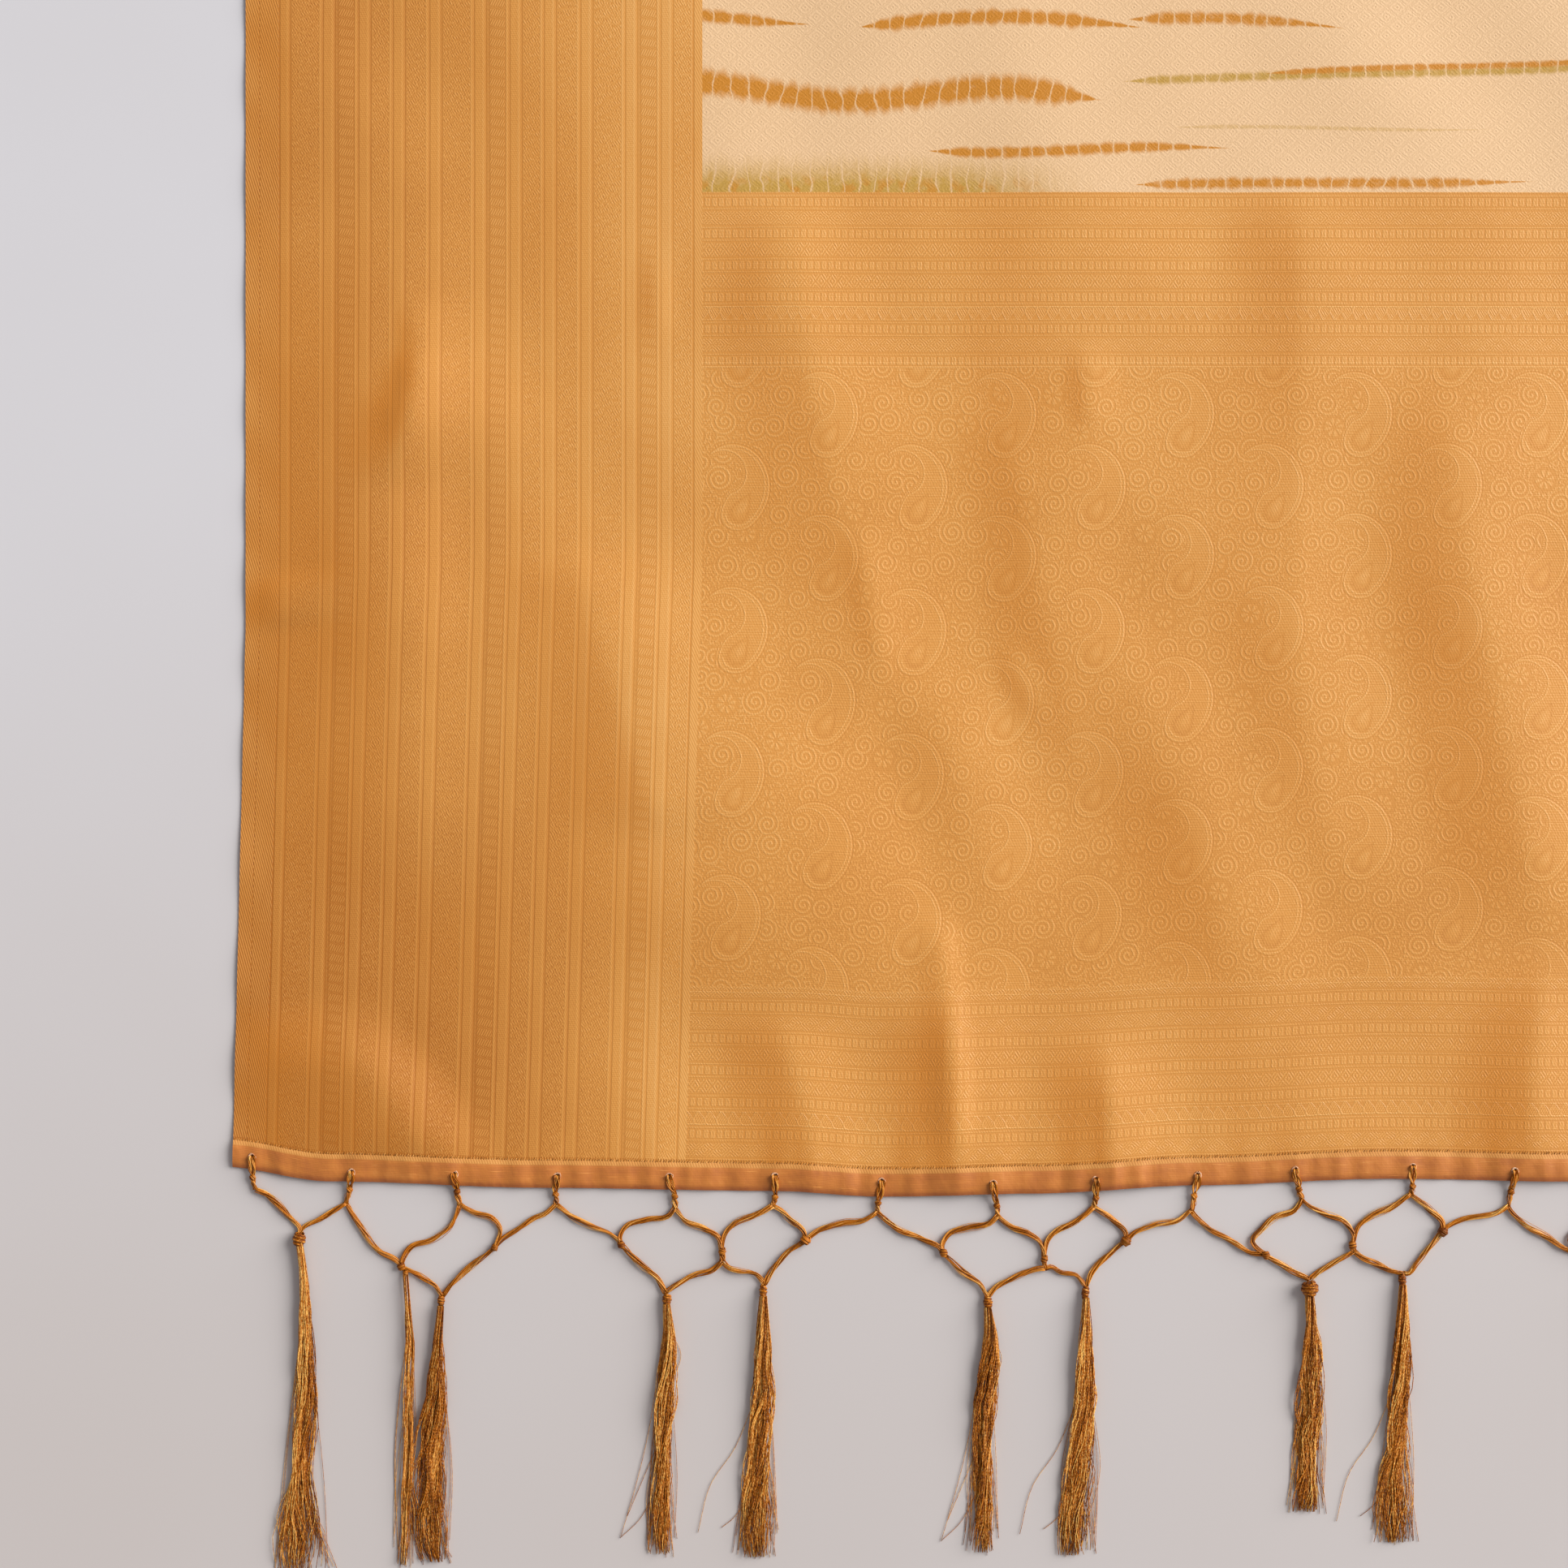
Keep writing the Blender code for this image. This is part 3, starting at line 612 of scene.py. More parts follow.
def row_relief(u, v, first_v, drops_row, upwards):
    """The rows' height. Row r is centred at first_v + r rows. Even rows are squares, odd ones diamonds."""
    count = (v - first_v) * (upwards / ROW) + 0.5
    row = count.math("FLOOR")
    local = (count - row - 0.5) * ROW
    odd = row.math("MODULO", 2.0).math("ABSOLUTE")
    is_drops = line(row, drops_row, 0.5)
    cell = abs(wrap(u, 3.37) - 1.69)
    in_square = between(cell, -1.0, 1.1, 0.15) * between(local, -1.9, 1.9, 0.15)
    squares = in_square * 0.75 - between(cell, -1.0, 0.55, 0.15) * between(local, -1.4, 1.4, 0.15) * 0.3
    large = smooth(abs(row - 5.0), 3.0, 3.5)
    nested = wave((tent(u / mix(5.5, 8.2, large)) + tent(local / ROW + 0.5)) * mix(1.7, 2.5, large))
    diamonds = smooth(nested, 0.2, 0.9) * between(local, -3.5, 3.5, 0.2) * 0.7
    drop_u = wrap(u, 5.56) - 2.78
    drop = egg(local, drop_u + local * 0.15, 3.6, 2.5)
    veins = wave((drop_u - local * 0.6) / 1.15) * 0.7
    drops = line(drop, 0.95, 0.18) + (1.0 - smooth(drop, 0.7, 0.8)) * veins
    inside = mix(mix(squares, diamonds, odd), drops, is_drops)
    frame_lines = between(abs(local), 2.85, 3.45, 0.15) * mix(0.4, 0.8, wave((u + local) / 1.2))
    frame_lines = frame_lines * (1.0 - odd * (1.0 - is_drops))
    return inside * between(local, -3.3, 3.3, 0.15) + frame_lines


# %% Pallu finish
FOOT_ROW, FOOT_DROPS = 12.0, 3.0
HEAD_ROW, HEAD_DROPS = 482.0, 7.0
PAISLEYS_FROM_TO = (100.0, 400.5)
EDGE_LINES = (97.2, 99.4, 401.2, 403.0)


def make_pallu_finish():
    material, u, v = new_finish("gold paisley weave", "cloth")
    paisleys, dark = paisley_relief(u, v)
    foot = row_relief(u, v, FOOT_ROW, FOOT_DROPS, 1.0)
    head = row_relief(u, v, HEAD_ROW, HEAD_DROPS, -1.0)
    rows = mix(foot, head, smooth(v, 249.0, 251.0))
    middle = between(v, *PAISLEYS_FROM_TO, 0.3)
    edge_lines = sum(line(v, at, 0.5) for at in EDGE_LINES) * 0.6
    pattern = mix(rows, paisleys, middle) + edge_lines
    ground = twill(u, v, 1.3)
    knotty = noise(u, v, 1.0, 1.3, 12.0, 1.0)
    weft = wave(v / 0.95)
    woven = pattern * mix(0.72, 1.0, ground) * mix(0.6, 1.1, knotty)
    relief = woven * 0.56 + ground * 0.08 + knotty * 0.42 + weft * 0.10
    cloudy = noise(u, v, 70.0, 90.0, 3.0)
    slub = noise(u, v, 12.0, 0.6, 7.0)
    tone = woven * 0.24 + knotty * 0.12 + weft * 0.05 + cloudy * 0.20 + slub * 0.14 + 0.136
    # Painted shade: a row of dark dots along the hem's upper edge, beside the stitches.
    tone = tone + smooth(v, 120.0, 470.0) * 0.05 - dark * middle * 0.08 - stitch_shadow_dots(u, v) * 0.35
    # Painted shade: slopes that face left are tinted a deeper gold.
    colour = painted_slope_shade(material, gold(tone), GOLD_PAINTED_SHADE)
    gloss = {"Roughness": 0.46, "Specular_IOR_Level": 0.42, "Sheen_Weight": 0.12, "Sheen_Roughness": 0.4}
    set_finish(material, colour, relief, 0.20, **gloss)
    return material


pallu_finish = make_pallu_finish()
print("pallu finish:", len(pallu_finish.node_tree.nodes), "nodes")

# %% [markdown]
# ## The dyed field
# Beyond the pallu the cloth is cream, with a weave of tiny diamonds, and it was tied and dyed: where it was
# gathered and bound, the dye ran in rows of brown blots, with a pale slit at each fold. Each shown stripe is
# a thin wavy line that tapers at both ends. Further up the cloth, rows of the same kind come from noise.

# %% Field finish
CREAM, CREAM_SHADE = (0.86, 0.565, 0.310), (0.62, 0.375, 0.175)
BROWN, OLIVE = (0.57, 0.210, 0.004), (0.50, 0.275, 0.030)
FURTHER_FROM, FURTHER_STEP = 590.0, 34.0
Stripe = namedtuple("Stripe", "start end fade left right bow waves half strength olive")
SHOWN_STRIPES = [
    Stripe(188, 282, 40, 577, 569.5, 0.4, 1.0, 3.2, 0.95, 0),
    Stripe(300, 446, 45, 568, 567.5, 5.5, 0.5, 3.6, 1.0, 0),
    Stripe(432, 546, 50, 572, 567, 3.0, 0.5, 3.0, 0.9, 0),
    Stripe(180, 424, 30, 538, 533.5, 4.0, 1.57, 6.1, 1.0, 0),
    Stripe(500, 700, 60, 545.5, 553, 0.5, 1.0, 1.6, 0.9, 0),
    Stripe(430, 700, 60, 541.5, 550, 0.5, 1.0, 2.2, 0.8, 1),
    Stripe(455, 620, 60, 519, 518, 0.6, 1.0, 1.0, 0.35, 1),
    Stripe(334, 490, 50, 507.5, 508.5, -1.2, 1.0, 2.7, 0.95, 0),
    Stripe(436, 640, 60, 490.6, 492.5, 0.5, 1.0, 2.7, 0.9, 0),
]


def stripe_share(u, v, stripe, ragged):
    """How strongly one dyed stripe colours a point: full along its wavy middle, less past its half-width."""
    t = (u - stripe.start) / (stripe.end - stripe.start)
    bow = (t * (2.0 * math.pi * stripe.waves)).math("SINE") * stripe.bow
    middle = t * (stripe.right - stripe.left) + bow + stripe.left
    faded = smooth(u, stripe.end - stripe.fade, stripe.end)
    taper = smooth(u, stripe.start, stripe.start + 22.0) * (1.0 - faded)
    half = ragged * taper * stripe.half + 0.02
    return (1.0 - smooth(abs(v - middle) / half, 0.35, 1.45)) * stripe.strength * smooth(taper, 0.0, 0.1)


def most(u, v, ragged, is_olive):
    """The largest share that the shown stripes of one colour have at a point."""
    shares = [stripe_share(u, v, stripe, ragged) for stripe in SHOWN_STRIPES if stripe.olive == is_olive]
    return functools.reduce(lambda a, b: a.math("MAXIMUM", b), shares)


def make_field_finish():
    material, u, v = new_finish("dyed cream weave", "cloth")
    slit_u = wrap(u + noise(u, v, 16.0, 22.0, 4.0) * 12.0, 7.8)
    slit = 1.0 - smooth(abs(slit_u - 3.9), 0.05, 0.62)
    ragged = noise(u, v, 4.0, 60.0, 2.0) * 0.8 + 0.62 - line(slit_u, 3.9, 2.4) * 0.18
    brown, olive = (most(u, v, ragged, is_olive) for is_olive in (0, 1))
    foot = (1.0 - smooth(v + (ragged - 1.0) * 12.0, 486.0, 508.0)) * (1.0 - smooth(u, 340.0, 425.0)) * 0.95
    olive = olive.math("MAXIMUM", foot)
    blotchy = smooth(noise(u, v, 7.0, 9.0, 14.0), 0.5, 0.64) * (1.0 - smooth(v, 488.0, 500.0))
    brown = brown.math("MAXIMUM", foot * blotchy * 0.65)
    row = ((v - FURTHER_FROM) / FURTHER_STEP).math("FLOOR")
    from_row = wrap(v - FURTHER_FROM, FURTHER_STEP)
    length = noise(u, row * 7.31, 130.0, 1.0, 8.0, 0.0)
    taper = smooth(length, 0.47, 0.62)
    sway = noise(u, row * 3.17, 70.0, 1.0, 9.0, 0.0) * 16.0 + 9.0
    half = ragged * taper * (noise(u, row * 5.7, 60.0, 1.0, 6.0, 0.0) * 9.0) + 0.02
    further = (1.0 - smooth(abs(from_row - sway) / half, 0.45, 1.35)) * smooth(taper, 0.0, 0.1)
    further = further * smooth(v, FURTHER_FROM - 2.0, FURTHER_FROM + 2.0)
    kind = smooth(wrap(row * 0.37, 1.0), 0.72, 0.74)
    brown = brown.math("MAXIMUM", further * (1.0 - kind))
    olive = olive.math("MAXIMUM", further * kind * 0.8)
    brown = brown * (1.0 - slit * 0.8)
    olive = olive * (1.0 - slit * 0.75)
    from_line = abs(tent(u / 10.8) + tent(v / 9.4) - 1.0)
    rings = wave(from_line * 2.2 + noise(u, v, 1.6, 1.6, 13.0) * 0.9)
    dots = smooth(from_line, 0.80, 0.95)
    grain = noise(u, v, 1.0, 1.0)
    relief = smooth(rings, 0.1, 0.9) * 0.32 + grain * 0.8 - dots * 0.35 + 0.2
    shade = rings * 0.22 - dots * 0.25 + noise(u, v, 60.0, 60.0, 1.0) * 0.30 + grain * 0.5 + 0.16
    cloth = tinted(shade.math("MINIMUM", 1.0), CREAM_SHADE, CREAM)
    mottled = noise(u, v, 2.5, 2.5, 11.0) * 1.1 + 0.58 - line(slit_u, 3.9, 2.4) * 0.18
    dyed = tinted((olive * mottled).math("MINIMUM", 0.95), cloth, OLIVE)
    dyed = tinted((brown * mottled).math("MINIMUM", 1.0), dyed, BROWN)
    set_finish(material, dyed, relief, 0.15, Roughness=0.55, Sheen_Weight=0.2, Sheen_Roughness=0.5)
    return material


field_finish = make_field_finish()
print("field finish:", len(field_finish.node_tree.nodes), "nodes")

# %% [markdown]
# ## Hem, stitches and silk
# The turned hem is a plainer cloth with fine lines along it and paler slubs, and its upper edge is golden,
# as the cloth above it is. The fringe is silk: every thread has one tone of its own, kept in its map, and
# light and dark streaks along it, partly the silk's own unevenness and partly painted glints, which are
# short where the silk hangs loose and long where it is twisted into yarn.

# %% Hem and silk finishes
RUST_DARK, RUST, RUST_LIGHT = (0.33, 0.080, 0.008), (0.54, 0.168, 0.018), (0.85, 0.36, 0.08)


def make_hem_finish():
    material, u, v = new_finish("rust plain weave", "cloth")
    warp = wave(v / 0.85 + noise(u, v, 30.0, 3.0, 2.0) * 0.6)
    slub = smooth(noise(u, v, 14.0, 0.9, 6.0), 0.62, 0.78)
    tuck = noise(u, v, 5.0, 30.0, 8.0)
    folds = noise(u + v * 0.6, v, 3.5, 9.0, 15.0)
    relief = warp * 0.22 + wave(u / 0.7) * 0.06 + slub * 0.4 + tuck * 1.2 + folds * 1.0
    # Painted shade: the hem darkens towards its lower edge, where its rounded fold turns away from the
    # light.
    painted_edge_shade = 1.0 - smooth(v, 0.4, 3.2)
    cloudy = noise(u, v, 24.0, 6.0, 3.0)
    tone = warp * 0.06 + cloudy * 0.45 + tuck * 0.3 + folds * 0.16 + slub * 0.3
    tone = tone - 0.08 - painted_edge_shade * 0.25
    rust = ramp(tone, [(0.1, RUST_DARK), (0.45, RUST), (0.95, RUST_LIGHT)])
    fringed = wave((u + v * 0.4) / 1.3) * smooth(v, 10.9, 11.6)
    golden = gold(fringed * 0.30 + cloudy * 0.40)
    colour = tinted(smooth(v + wave(u / 1.3) * 0.5, 11.1, 11.5), rust, golden)
    set_finish(material, colour, relief, 0.12, Roughness=0.6, Sheen_Weight=0.2, Sheen_Roughness=0.5)
    return material


def make_silk_finish(name, dark, middle, light, shift, streak_and_glint_length, contrast, depth):
    material, tone, along = new_finish(name, "thread")
    # Painted glints: the light streaks stand in for highlights along the silk, mixed with its own
    # unevenness.
    streak_and_glint = noise(tone * 400.0, along, 3.0, streak_and_glint_length, 1.0)
    fibre = wave(along / 1.6 + tone * 9.0)
    share = tone * 0.72 + streak_and_glint * contrast + shift - contrast * 0.5
    colour = ramp(share, [(0.14, dark), (0.5, middle), (0.9, light)])
    gleam = (1.0, 0.78, 0.46, 1.0)
    set_finish(material, colour, fibre, depth, Roughness=0.36, Specular_Tint=gleam)
    return material


hem_finish = make_hem_finish()
SILK = (0.17, 0.033, 0.001), (0.56, 0.172, 0.008), (1.0, 0.60, 0.16)
silk_finish = make_silk_finish("loose golden silk", *SILK, 0.08, 1.9, 1.35, 0.12)
yarn_finish = make_silk_finish("twisted golden silk", *SILK, 0.09, 7.0, 0.72, 0.04)
STITCH_TONES = (0.26, 0.085, 0.010), (0.47, 0.185, 0.028), (0.68, 0.34, 0.095)
stitch_finish = make_silk_finish("stitch thread", *STITCH_TONES, 0.13, 2.0, 0.8, 0.03)
COTTON_TONES = (0.52, 0.26, 0.14), (0.74, 0.42, 0.25), (0.88, 0.60, 0.40)
fuzz_finish = make_silk_finish("frayed cotton", *COTTON_TONES, 0.13, 2.0, 0.8, 0.03)


# %% The table, with painted warm bounce light fading over a stretch in metres
# The warm end is painted bounce light from the cloth; the cool end is the table's own colour.
TABLE_PAINTED_BOUNCE, COOL_TABLE = (0.553, 0.499, 0.474), (0.655, 0.640, 0.660)
PAINTED_BOUNCE_FADE = (-2.85, -2.15)
HALF_X, HALF_Y, TABLE_Z = 9, 12, -0.0002


def make_table_finish():
    """Pale with faint clouds, and warmer towards the fringe than further up: painted warm bounce light from
    the cloth.
    """
    material = bpy.data.materials.new("pale table")
    material.use_nodes = True
    tree = material.node_tree
    place = Value(tree.nodes.new("ShaderNodeTexCoord").outputs["Object"])
    clouds = tree.nodes.new("ShaderNodeTexNoise")
    clouds.inputs["Scale"].default_value = 4.0
    connect(place, clouds.inputs["Vector"])
    share = smooth(split(place)[1], *PAINTED_BOUNCE_FADE) * 0.7 + Value(clouds.outputs["Fac"]) * 0.3
    shader = tree.nodes["Principled BSDF"]
    connect(ramp(share, [(0.1, TABLE_PAINTED_BOUNCE), (0.9, COOL_TABLE)]), shader.inputs["Base Color"])
    shader.inputs["Roughness"].default_value = 0.8
    return material


table_mesh = bpy.data.meshes.new("table")
signs = ((-1, -1), (1, -1), (1, 1), (-1, 1))
table_corners = [(x * HALF_X, y * HALF_Y, TABLE_Z) for x, y in signs]
table_mesh.from_pydata(table_corners, [], [(0, 1, 2, 3)])
table = bpy.data.objects.new("table", table_mesh)
table_mesh.materials.append(make_table_finish())
bpy.context.scene.collection.objects.link(table)
table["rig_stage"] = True

# %% [markdown]
# ## Creases
# Cloth that has been folded and carried never lies quite flat. Each soft ridge follows a crest line, and its
# section is a hump whose left and right slopes differ, because creases lean. The crests of the shown part
# were placed one by one, and similar ones carry on over the part that the photo doesn't show. The ridges'
# heights add up, and faint ripples cover all of them.

# %% Crest lines, as places on the table
Crease = namedtuple("Crease", "height left right fade crest sharp", defaults=(0.0,))
CREASES = [
    Crease(2.1, 50, 52, 60, [(276, 510), (276, 410), (290, 345), (300, 278), (309, 205)], 0.5),
    Crease(0.7, 30, 40, 36, [(266, 500), (260, 450), (256, 400)], 0.3),
    Crease(1.0, 10, 24, 30, [(299, 330), (308, 280), (316, 236)], 0.6),
    Crease(1.6, 36, 50, 60, [(371, 400), (378, 346), (392, 300), (402, 238), (420, 170)], 0.5),
    Crease(1.7, 46, 52, 60, [(430, 290), (447, 230), (470, 160), (491, 84)], 0.4),
    Crease(1.5, 56, 62, 60, [(392, 512), (400, 440), (416, 350), (430, 290)], 0.1),
    Crease(0.9, 10, 22, 24, [(411, 420), (416, 360)], 0.4),
    Crease(1.6, 34, 44, 50, [(335, 262), (351, 202), (385, 98)], 0.3),
    Crease(2.0, 50, 56, 60, [(513, 510), (518, 400), (520, 342), (519, 282), (523, 215), (552, 120)], 0.5),
    Crease(2.9, 40, 44, 44, [(344, 102), (348, 55), (350, -30)], 0.9),
    Crease(1.4, 20, 10, 22, [(341, 136), (345, 105), (349, 62), (350, 10)], 0.6),
    Crease(3.4, 42, 44, 44, [(420, 84), (425, 40), (428, -30)], 0.9),
    Crease(2.6, 40, 36, 30, [(262, 90), (270, 55), (277, 20), (279, -24)], 0.6),
    Crease(5.4, 62, 36, 40, [(42, 92), (62, 48), (86, 14), (94, -12)], 0.2),
    Crease(1.5, 10, 70, 26, [(81, 440), (83, 410), (80, 372)], 0.8),
    Crease(2.0, 19, 90, 22, [(82, 416), (81, 384), (76, 354)], 0.8),
    Crease(2.2, 32, 110, 22, [(81, 398), (78, 368), (70, 340)], 0.8),
    Crease(1.9, 56, 90, 26, [(158, 316), (176, 262), (190, 215), (206, 165)], 0.8),
    Crease(1.6, 17, 40, 12, [(17, 302), (17, 270)]),
    Crease(0.7, 9, 12, 30, [(201, 468), (203, 402)], 0.4),
    Crease(5.6, 190, 120, 90, [(146, 340), (172, 292), (198, 250), (226, 198), (258, 130), (290, 50)], 0.15),
    Crease(0.7, 11, 11, 22, [(371, 270), (393, 222)]),
    Crease(2.8, 70, 50, 90, [(62, 480), (66, 300), (76, 110)]),
    Crease(2.5, 56, 58, 60, [(586, 410), (612, 260), (642, 110)], 0.4),
    Crease(3.0, 40, 44, 50, [(640, 120), (634, 50), (632, -30)], 0.7),
    Crease(2.6, 58, 54, 70, [(716, 480), (738, 340), (764, 190)], 0.5),
    Crease(3.0, 44, 40, 50, [(802, 150), (792, 60), (790, -30)], 0.7),
    Crease(2.4, 54, 60, 60, [(846, 450), (862, 320), (884, 180)], 0.5),
    Crease(2.4, 50, 56, 50, [(964, 350), (948, 250), (926, 160)], 0.4),
    Crease(3.0, 44, 50, 40, [(1012, 130), (1004, 60), (1000, -30)], 0.3),
    Crease(4.6, 90, 80, 160, [(326, 1100), (372, 860), (424, 620)], 0.3),
    Crease(4.6, 80, 92, 170, [(704, 1320), (676, 1060), (636, 800)], 0.4),
    Crease(5.0, 96, 86, 200, [(516, 2080), (556, 1760), (604, 1450)], 0.3),
    Crease(4.2, 84, 92, 150, [(884, 1920), (846, 1700), (796, 1480)], 0.5),
    Crease(4.6, 88, 84, 180, [(296, 2680), (336, 2400), (384, 2120)], 0.4),
    Crease(5.0, 92, 96, 190, [(694, 3020), (660, 2730), (616, 2420)], 0.3),
    Crease(4.6, 86, 90, 180, [(396, 3680), (430, 3380), (474, 3090)], 0.4),
    Crease(4.6, 90, 82, 190, [(804, 3930), (774, 3620), (736, 3320)], 0.3),
    Crease(5.0, 96, 90, 190, [(536, 4530), (566, 4220), (604, 3920)], 0.5),
    Crease(4.2, 84, 88, 150, [(318, 4970), (336, 4720), (362, 4480)], 0.4),
    Crease(4.6, 88, 84, 160, [(784, 5220), (754, 4950), (716, 4680)], 0.3),
]


def crease_height(u, v, crease):
    """The crest is a curve u = p(v) through its points. The height falls as a cosine from the crest to each
    foot, by the distance square to the crest over that side's width, and eases in and out at the crest's two
    ends. A sharp crease falls as 1 - sine instead, which has an edge along its crest."""
    points = np.array(crease.crest, float)
    curve = np.polynomial.Polynomial.fit(points[:, 1], points[:, 0], min(len(points) - 1, 3))
    low, high = points[:, 1].min(), points[:, 1].max()
    inside = np.clip(v, low, high)
    aside = (u - curve(inside)) / np.sqrt(1.0 + curve.deriv()(inside) ** 2)
    half = np.where(aside < 0.0, crease.left, crease.right)
    share = np.clip(np.abs(aside) / half, 0.0, 1.0)
    hump = 0.5 + 0.5 * np.cos(np.pi * share)
    hump += crease.sharp * (1.0 - np.sin(0.5 * np.pi * share) - hump)
    return crease.height * hump * ease((v - low) / crease.fade) * ease((high - v) / crease.fade)


def rise(u, v):
    """How far the cloth's underside stands off the table at a place: the sum of the creases, plus faint
    crossing ripples whose lines wander, small tucks above the hem and waves along the selvedges."""
    total = sum(crease_height(u, v, crease) for crease in CREASES)
    wander = 1.3 * np.sin(v / 110.0 + 0.7) + 0.8 * np.sin(u / 90.0)
    ripple = 0.42 * (1.0 + np.sin(u / 27.0 + v / 72.0 + wander))
    ripple = ripple + 0.22 * (1.0 + np.sin(u / 57.0 - v / 47.0 + 1.0))
    ripple = ripple + 0.20 * (1.0 + np.sin(u / 14.0 + v / 31.0 + 1.1 * np.sin(v / 41.0 - u / 83.0)))
    tucks = 0.28 * (1.0 + np.sin(u / 2.9 + 1.6 * np.sin(u / 23.0))) * np.exp(-np.clip(v, 0.0, None) / 18.0)
    from_edge = np.minimum(u + 4.0, WIDTH + 4.0 - u)
    edge_wave = 0.35 * (1.0 + np.sin(v / 7.5 + u / 6.0 + 1.4 * np.sin(v / 47.0)))
    return total + ripple * ease(from_edge / 30.0) + tucks + edge_wave * np.exp(-from_edge / 11.0)


sample_u, sample_v = np.meshgrid(np.linspace(0, 1100, 200), np.linspace(0, 5500, 900), indexing="ij")
print("the creases rise to", round(float(rise(sample_u, sample_v).max()), 2), "mm")

# %% [markdown]
# ## From numbers to a mesh
# Two helpers make every piece. A shell takes a grid of points and gives it a top, an underside and a wall
# along every open edge, so that it is closed. Tubes take many threads at once, as one array of paths.

# %% Meshes from arrays
def add_piece(name, places, faces, maps, material, sharp=None):
    """Makes one object from arrays: places in millimetres from the cloth's corner, groups of faces of 3 or 4
    corners, and maps with a pair of numbers for each vertex or face corner. It rides on the only body."""
    counts = np.concatenate([np.full(len(group), group.shape[1]) for group in faces])
    corners = np.concatenate([group.ravel() for group in faces])
    mesh = bpy.data.meshes.new(name)
    mesh.vertices.add(len(places))
    mesh.loops.add(len(corners))
    mesh.polygons.add(len(counts))
    from_middle = (places - (MIDDLE_U, MIDDLE_V, 0.0)) * MM
    mesh.vertices.foreach_set("co", from_middle.astype(np.float32).ravel())
    mesh.loops.foreach_set("vertex_index", corners.astype(np.int32))
    mesh.polygons.foreach_set("loop_start", (np.cumsum(counts) - counts).astype(np.int32))
    mesh.update(calc_edges=True)
    mesh.polygons.foreach_set("use_smooth", np.ones(len(counts), bool))
    for map_name, values in maps.items():
        if len(values) != len(corners):
            values = values[corners]
        layer = mesh.uv_layers.new(name=map_name)
        layer.uv.foreach_set("vector", values.astype(np.float32).ravel())
    if sharp is not None:
        ends = np.empty(len(mesh.edges) * 2, np.int32)
        mesh.edges.foreach_get("vertices", ends)
        ends = ends.reshape(-1, 2)
        rim = sharp[ends[:, 0]] & sharp[ends[:, 1]]
        mesh.edges.foreach_set("use_edge_sharp", rim)
    mesh.materials.append(material)
    piece = bpy.data.objects.new(name, mesh)
    bpy.context.scene.collection.objects.link(piece)
    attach(piece, "root")
    return piece


FULL_LEAN = 0.16
MARGIN, TALL = 0.002, 0.996
TOP_WIDE, LOW_START, LOW_WIDE = 0.775, 0.785, 0.185
WALL_START, WALL_END = 0.978, 0.996


def shell(name, cut_u, cut_v, under, over, material, keep=None):
    """A closed sheet over a grid of cut points, between two grids of heights. keep says which squares of the
    grid are cloth. Each edge that belongs to only one kept square gets a wall. Its map named lean holds how
    steeply the cloth climbs to the right: dz / du over 0.16, kept between 0 and 1. The finishes use it to
    paint shade on the slopes that face left."""
    x, y = laid(cut_u, cut_v)
    count = x.size
    places = np.concatenate([
        np.stack([x, y, over], axis=-1).reshape(-1, 3),
        np.stack([x, y, under], axis=-1).reshape(-1, 3),
    ])
    index = np.arange(count).reshape(x.shape)
    squares = np.stack([index[:-1, :-1], index[1:, :-1], index[1:, 1:], index[:-1, 1:]], axis=-1)
    squares = squares.reshape(-1, 4) if keep is None else squares[keep]
    edges = np.concatenate([squares[:, [k, (k + 1) % 4]] for k in range(4)])
    one_way = edges[:, 0] * count + edges[:, 1]
    other_way = edges[:, 1] * count + edges[:, 0]
    rim = edges[~np.isin(one_way, other_way)]
    walls = np.stack([rim[:, 1], rim[:, 0], rim[:, 0] + count, rim[:, 1] + count], axis=-1)
    bottom = squares[:, ::-1] + count
    cloth = np.stack([cut_u, cut_v], axis=-1).reshape(-1, 2)
    slope = np.gradient(under, axis=0) / np.maximum(np.gradient(cut_u, axis=0), 0.1)
    lean = np.stack([np.clip(slope / FULL_LEAN, 0.0, 1.0), 0.0 * slope], axis=-1).reshape(-1, 2)
    share_u = (cut_u - cut_u.min()) / (cut_u.max() - cut_u.min())
    share_v = (cut_v - cut_v.min()) / (cut_v.max() - cut_v.min())
    share = np.stack([share_u, share_v], axis=-1).reshape(-1, 2)
    top_map = share[squares.ravel()] * (TOP_WIDE, TALL) + (MARGIN, MARGIN)
    low_map = share[bottom.ravel() - count] * (LOW_WIDE, TALL) + (LOW_START, MARGIN)
    strip = np.stack([np.arange(len(walls)), np.arange(len(walls)) + 1], axis=-1) / len(walls)
    wall_u = np.tile([WALL_START, WALL_START, WALL_END, WALL_END], len(walls))
    wall_v = strip[:, [1, 0, 0, 1]].ravel() * TALL + MARGIN
    bake = np.concatenate([top_map, low_map, np.stack([wall_u, wall_v], axis=-1)])
    on_rim = np.zeros(2 * count, bool)
    on_rim[rim.ravel()] = True
    on_rim[rim.ravel() + count] = True
    maps = {"cloth": np.concatenate([cloth, cloth]), "lean": np.concatenate([lean, lean]), "OFBake": bake}
    return add_piece(name, places, [squares, bottom, walls], maps, material, on_rim)


# %% [markdown]
# ## The cloth
# The two borders, the pallu and the field are one woven cloth, so their edges share the same height
# everywhere. They are made as separate pieces, because each has its own weave, and the long ones in
# stretches, because a piece a metre long keeps its weave sharp when the finish is turned into a picture. The
# weave is half a millimetre thick.

# %% Borders, pallu and field
THICK = 0.55
CLEAR = 0.05


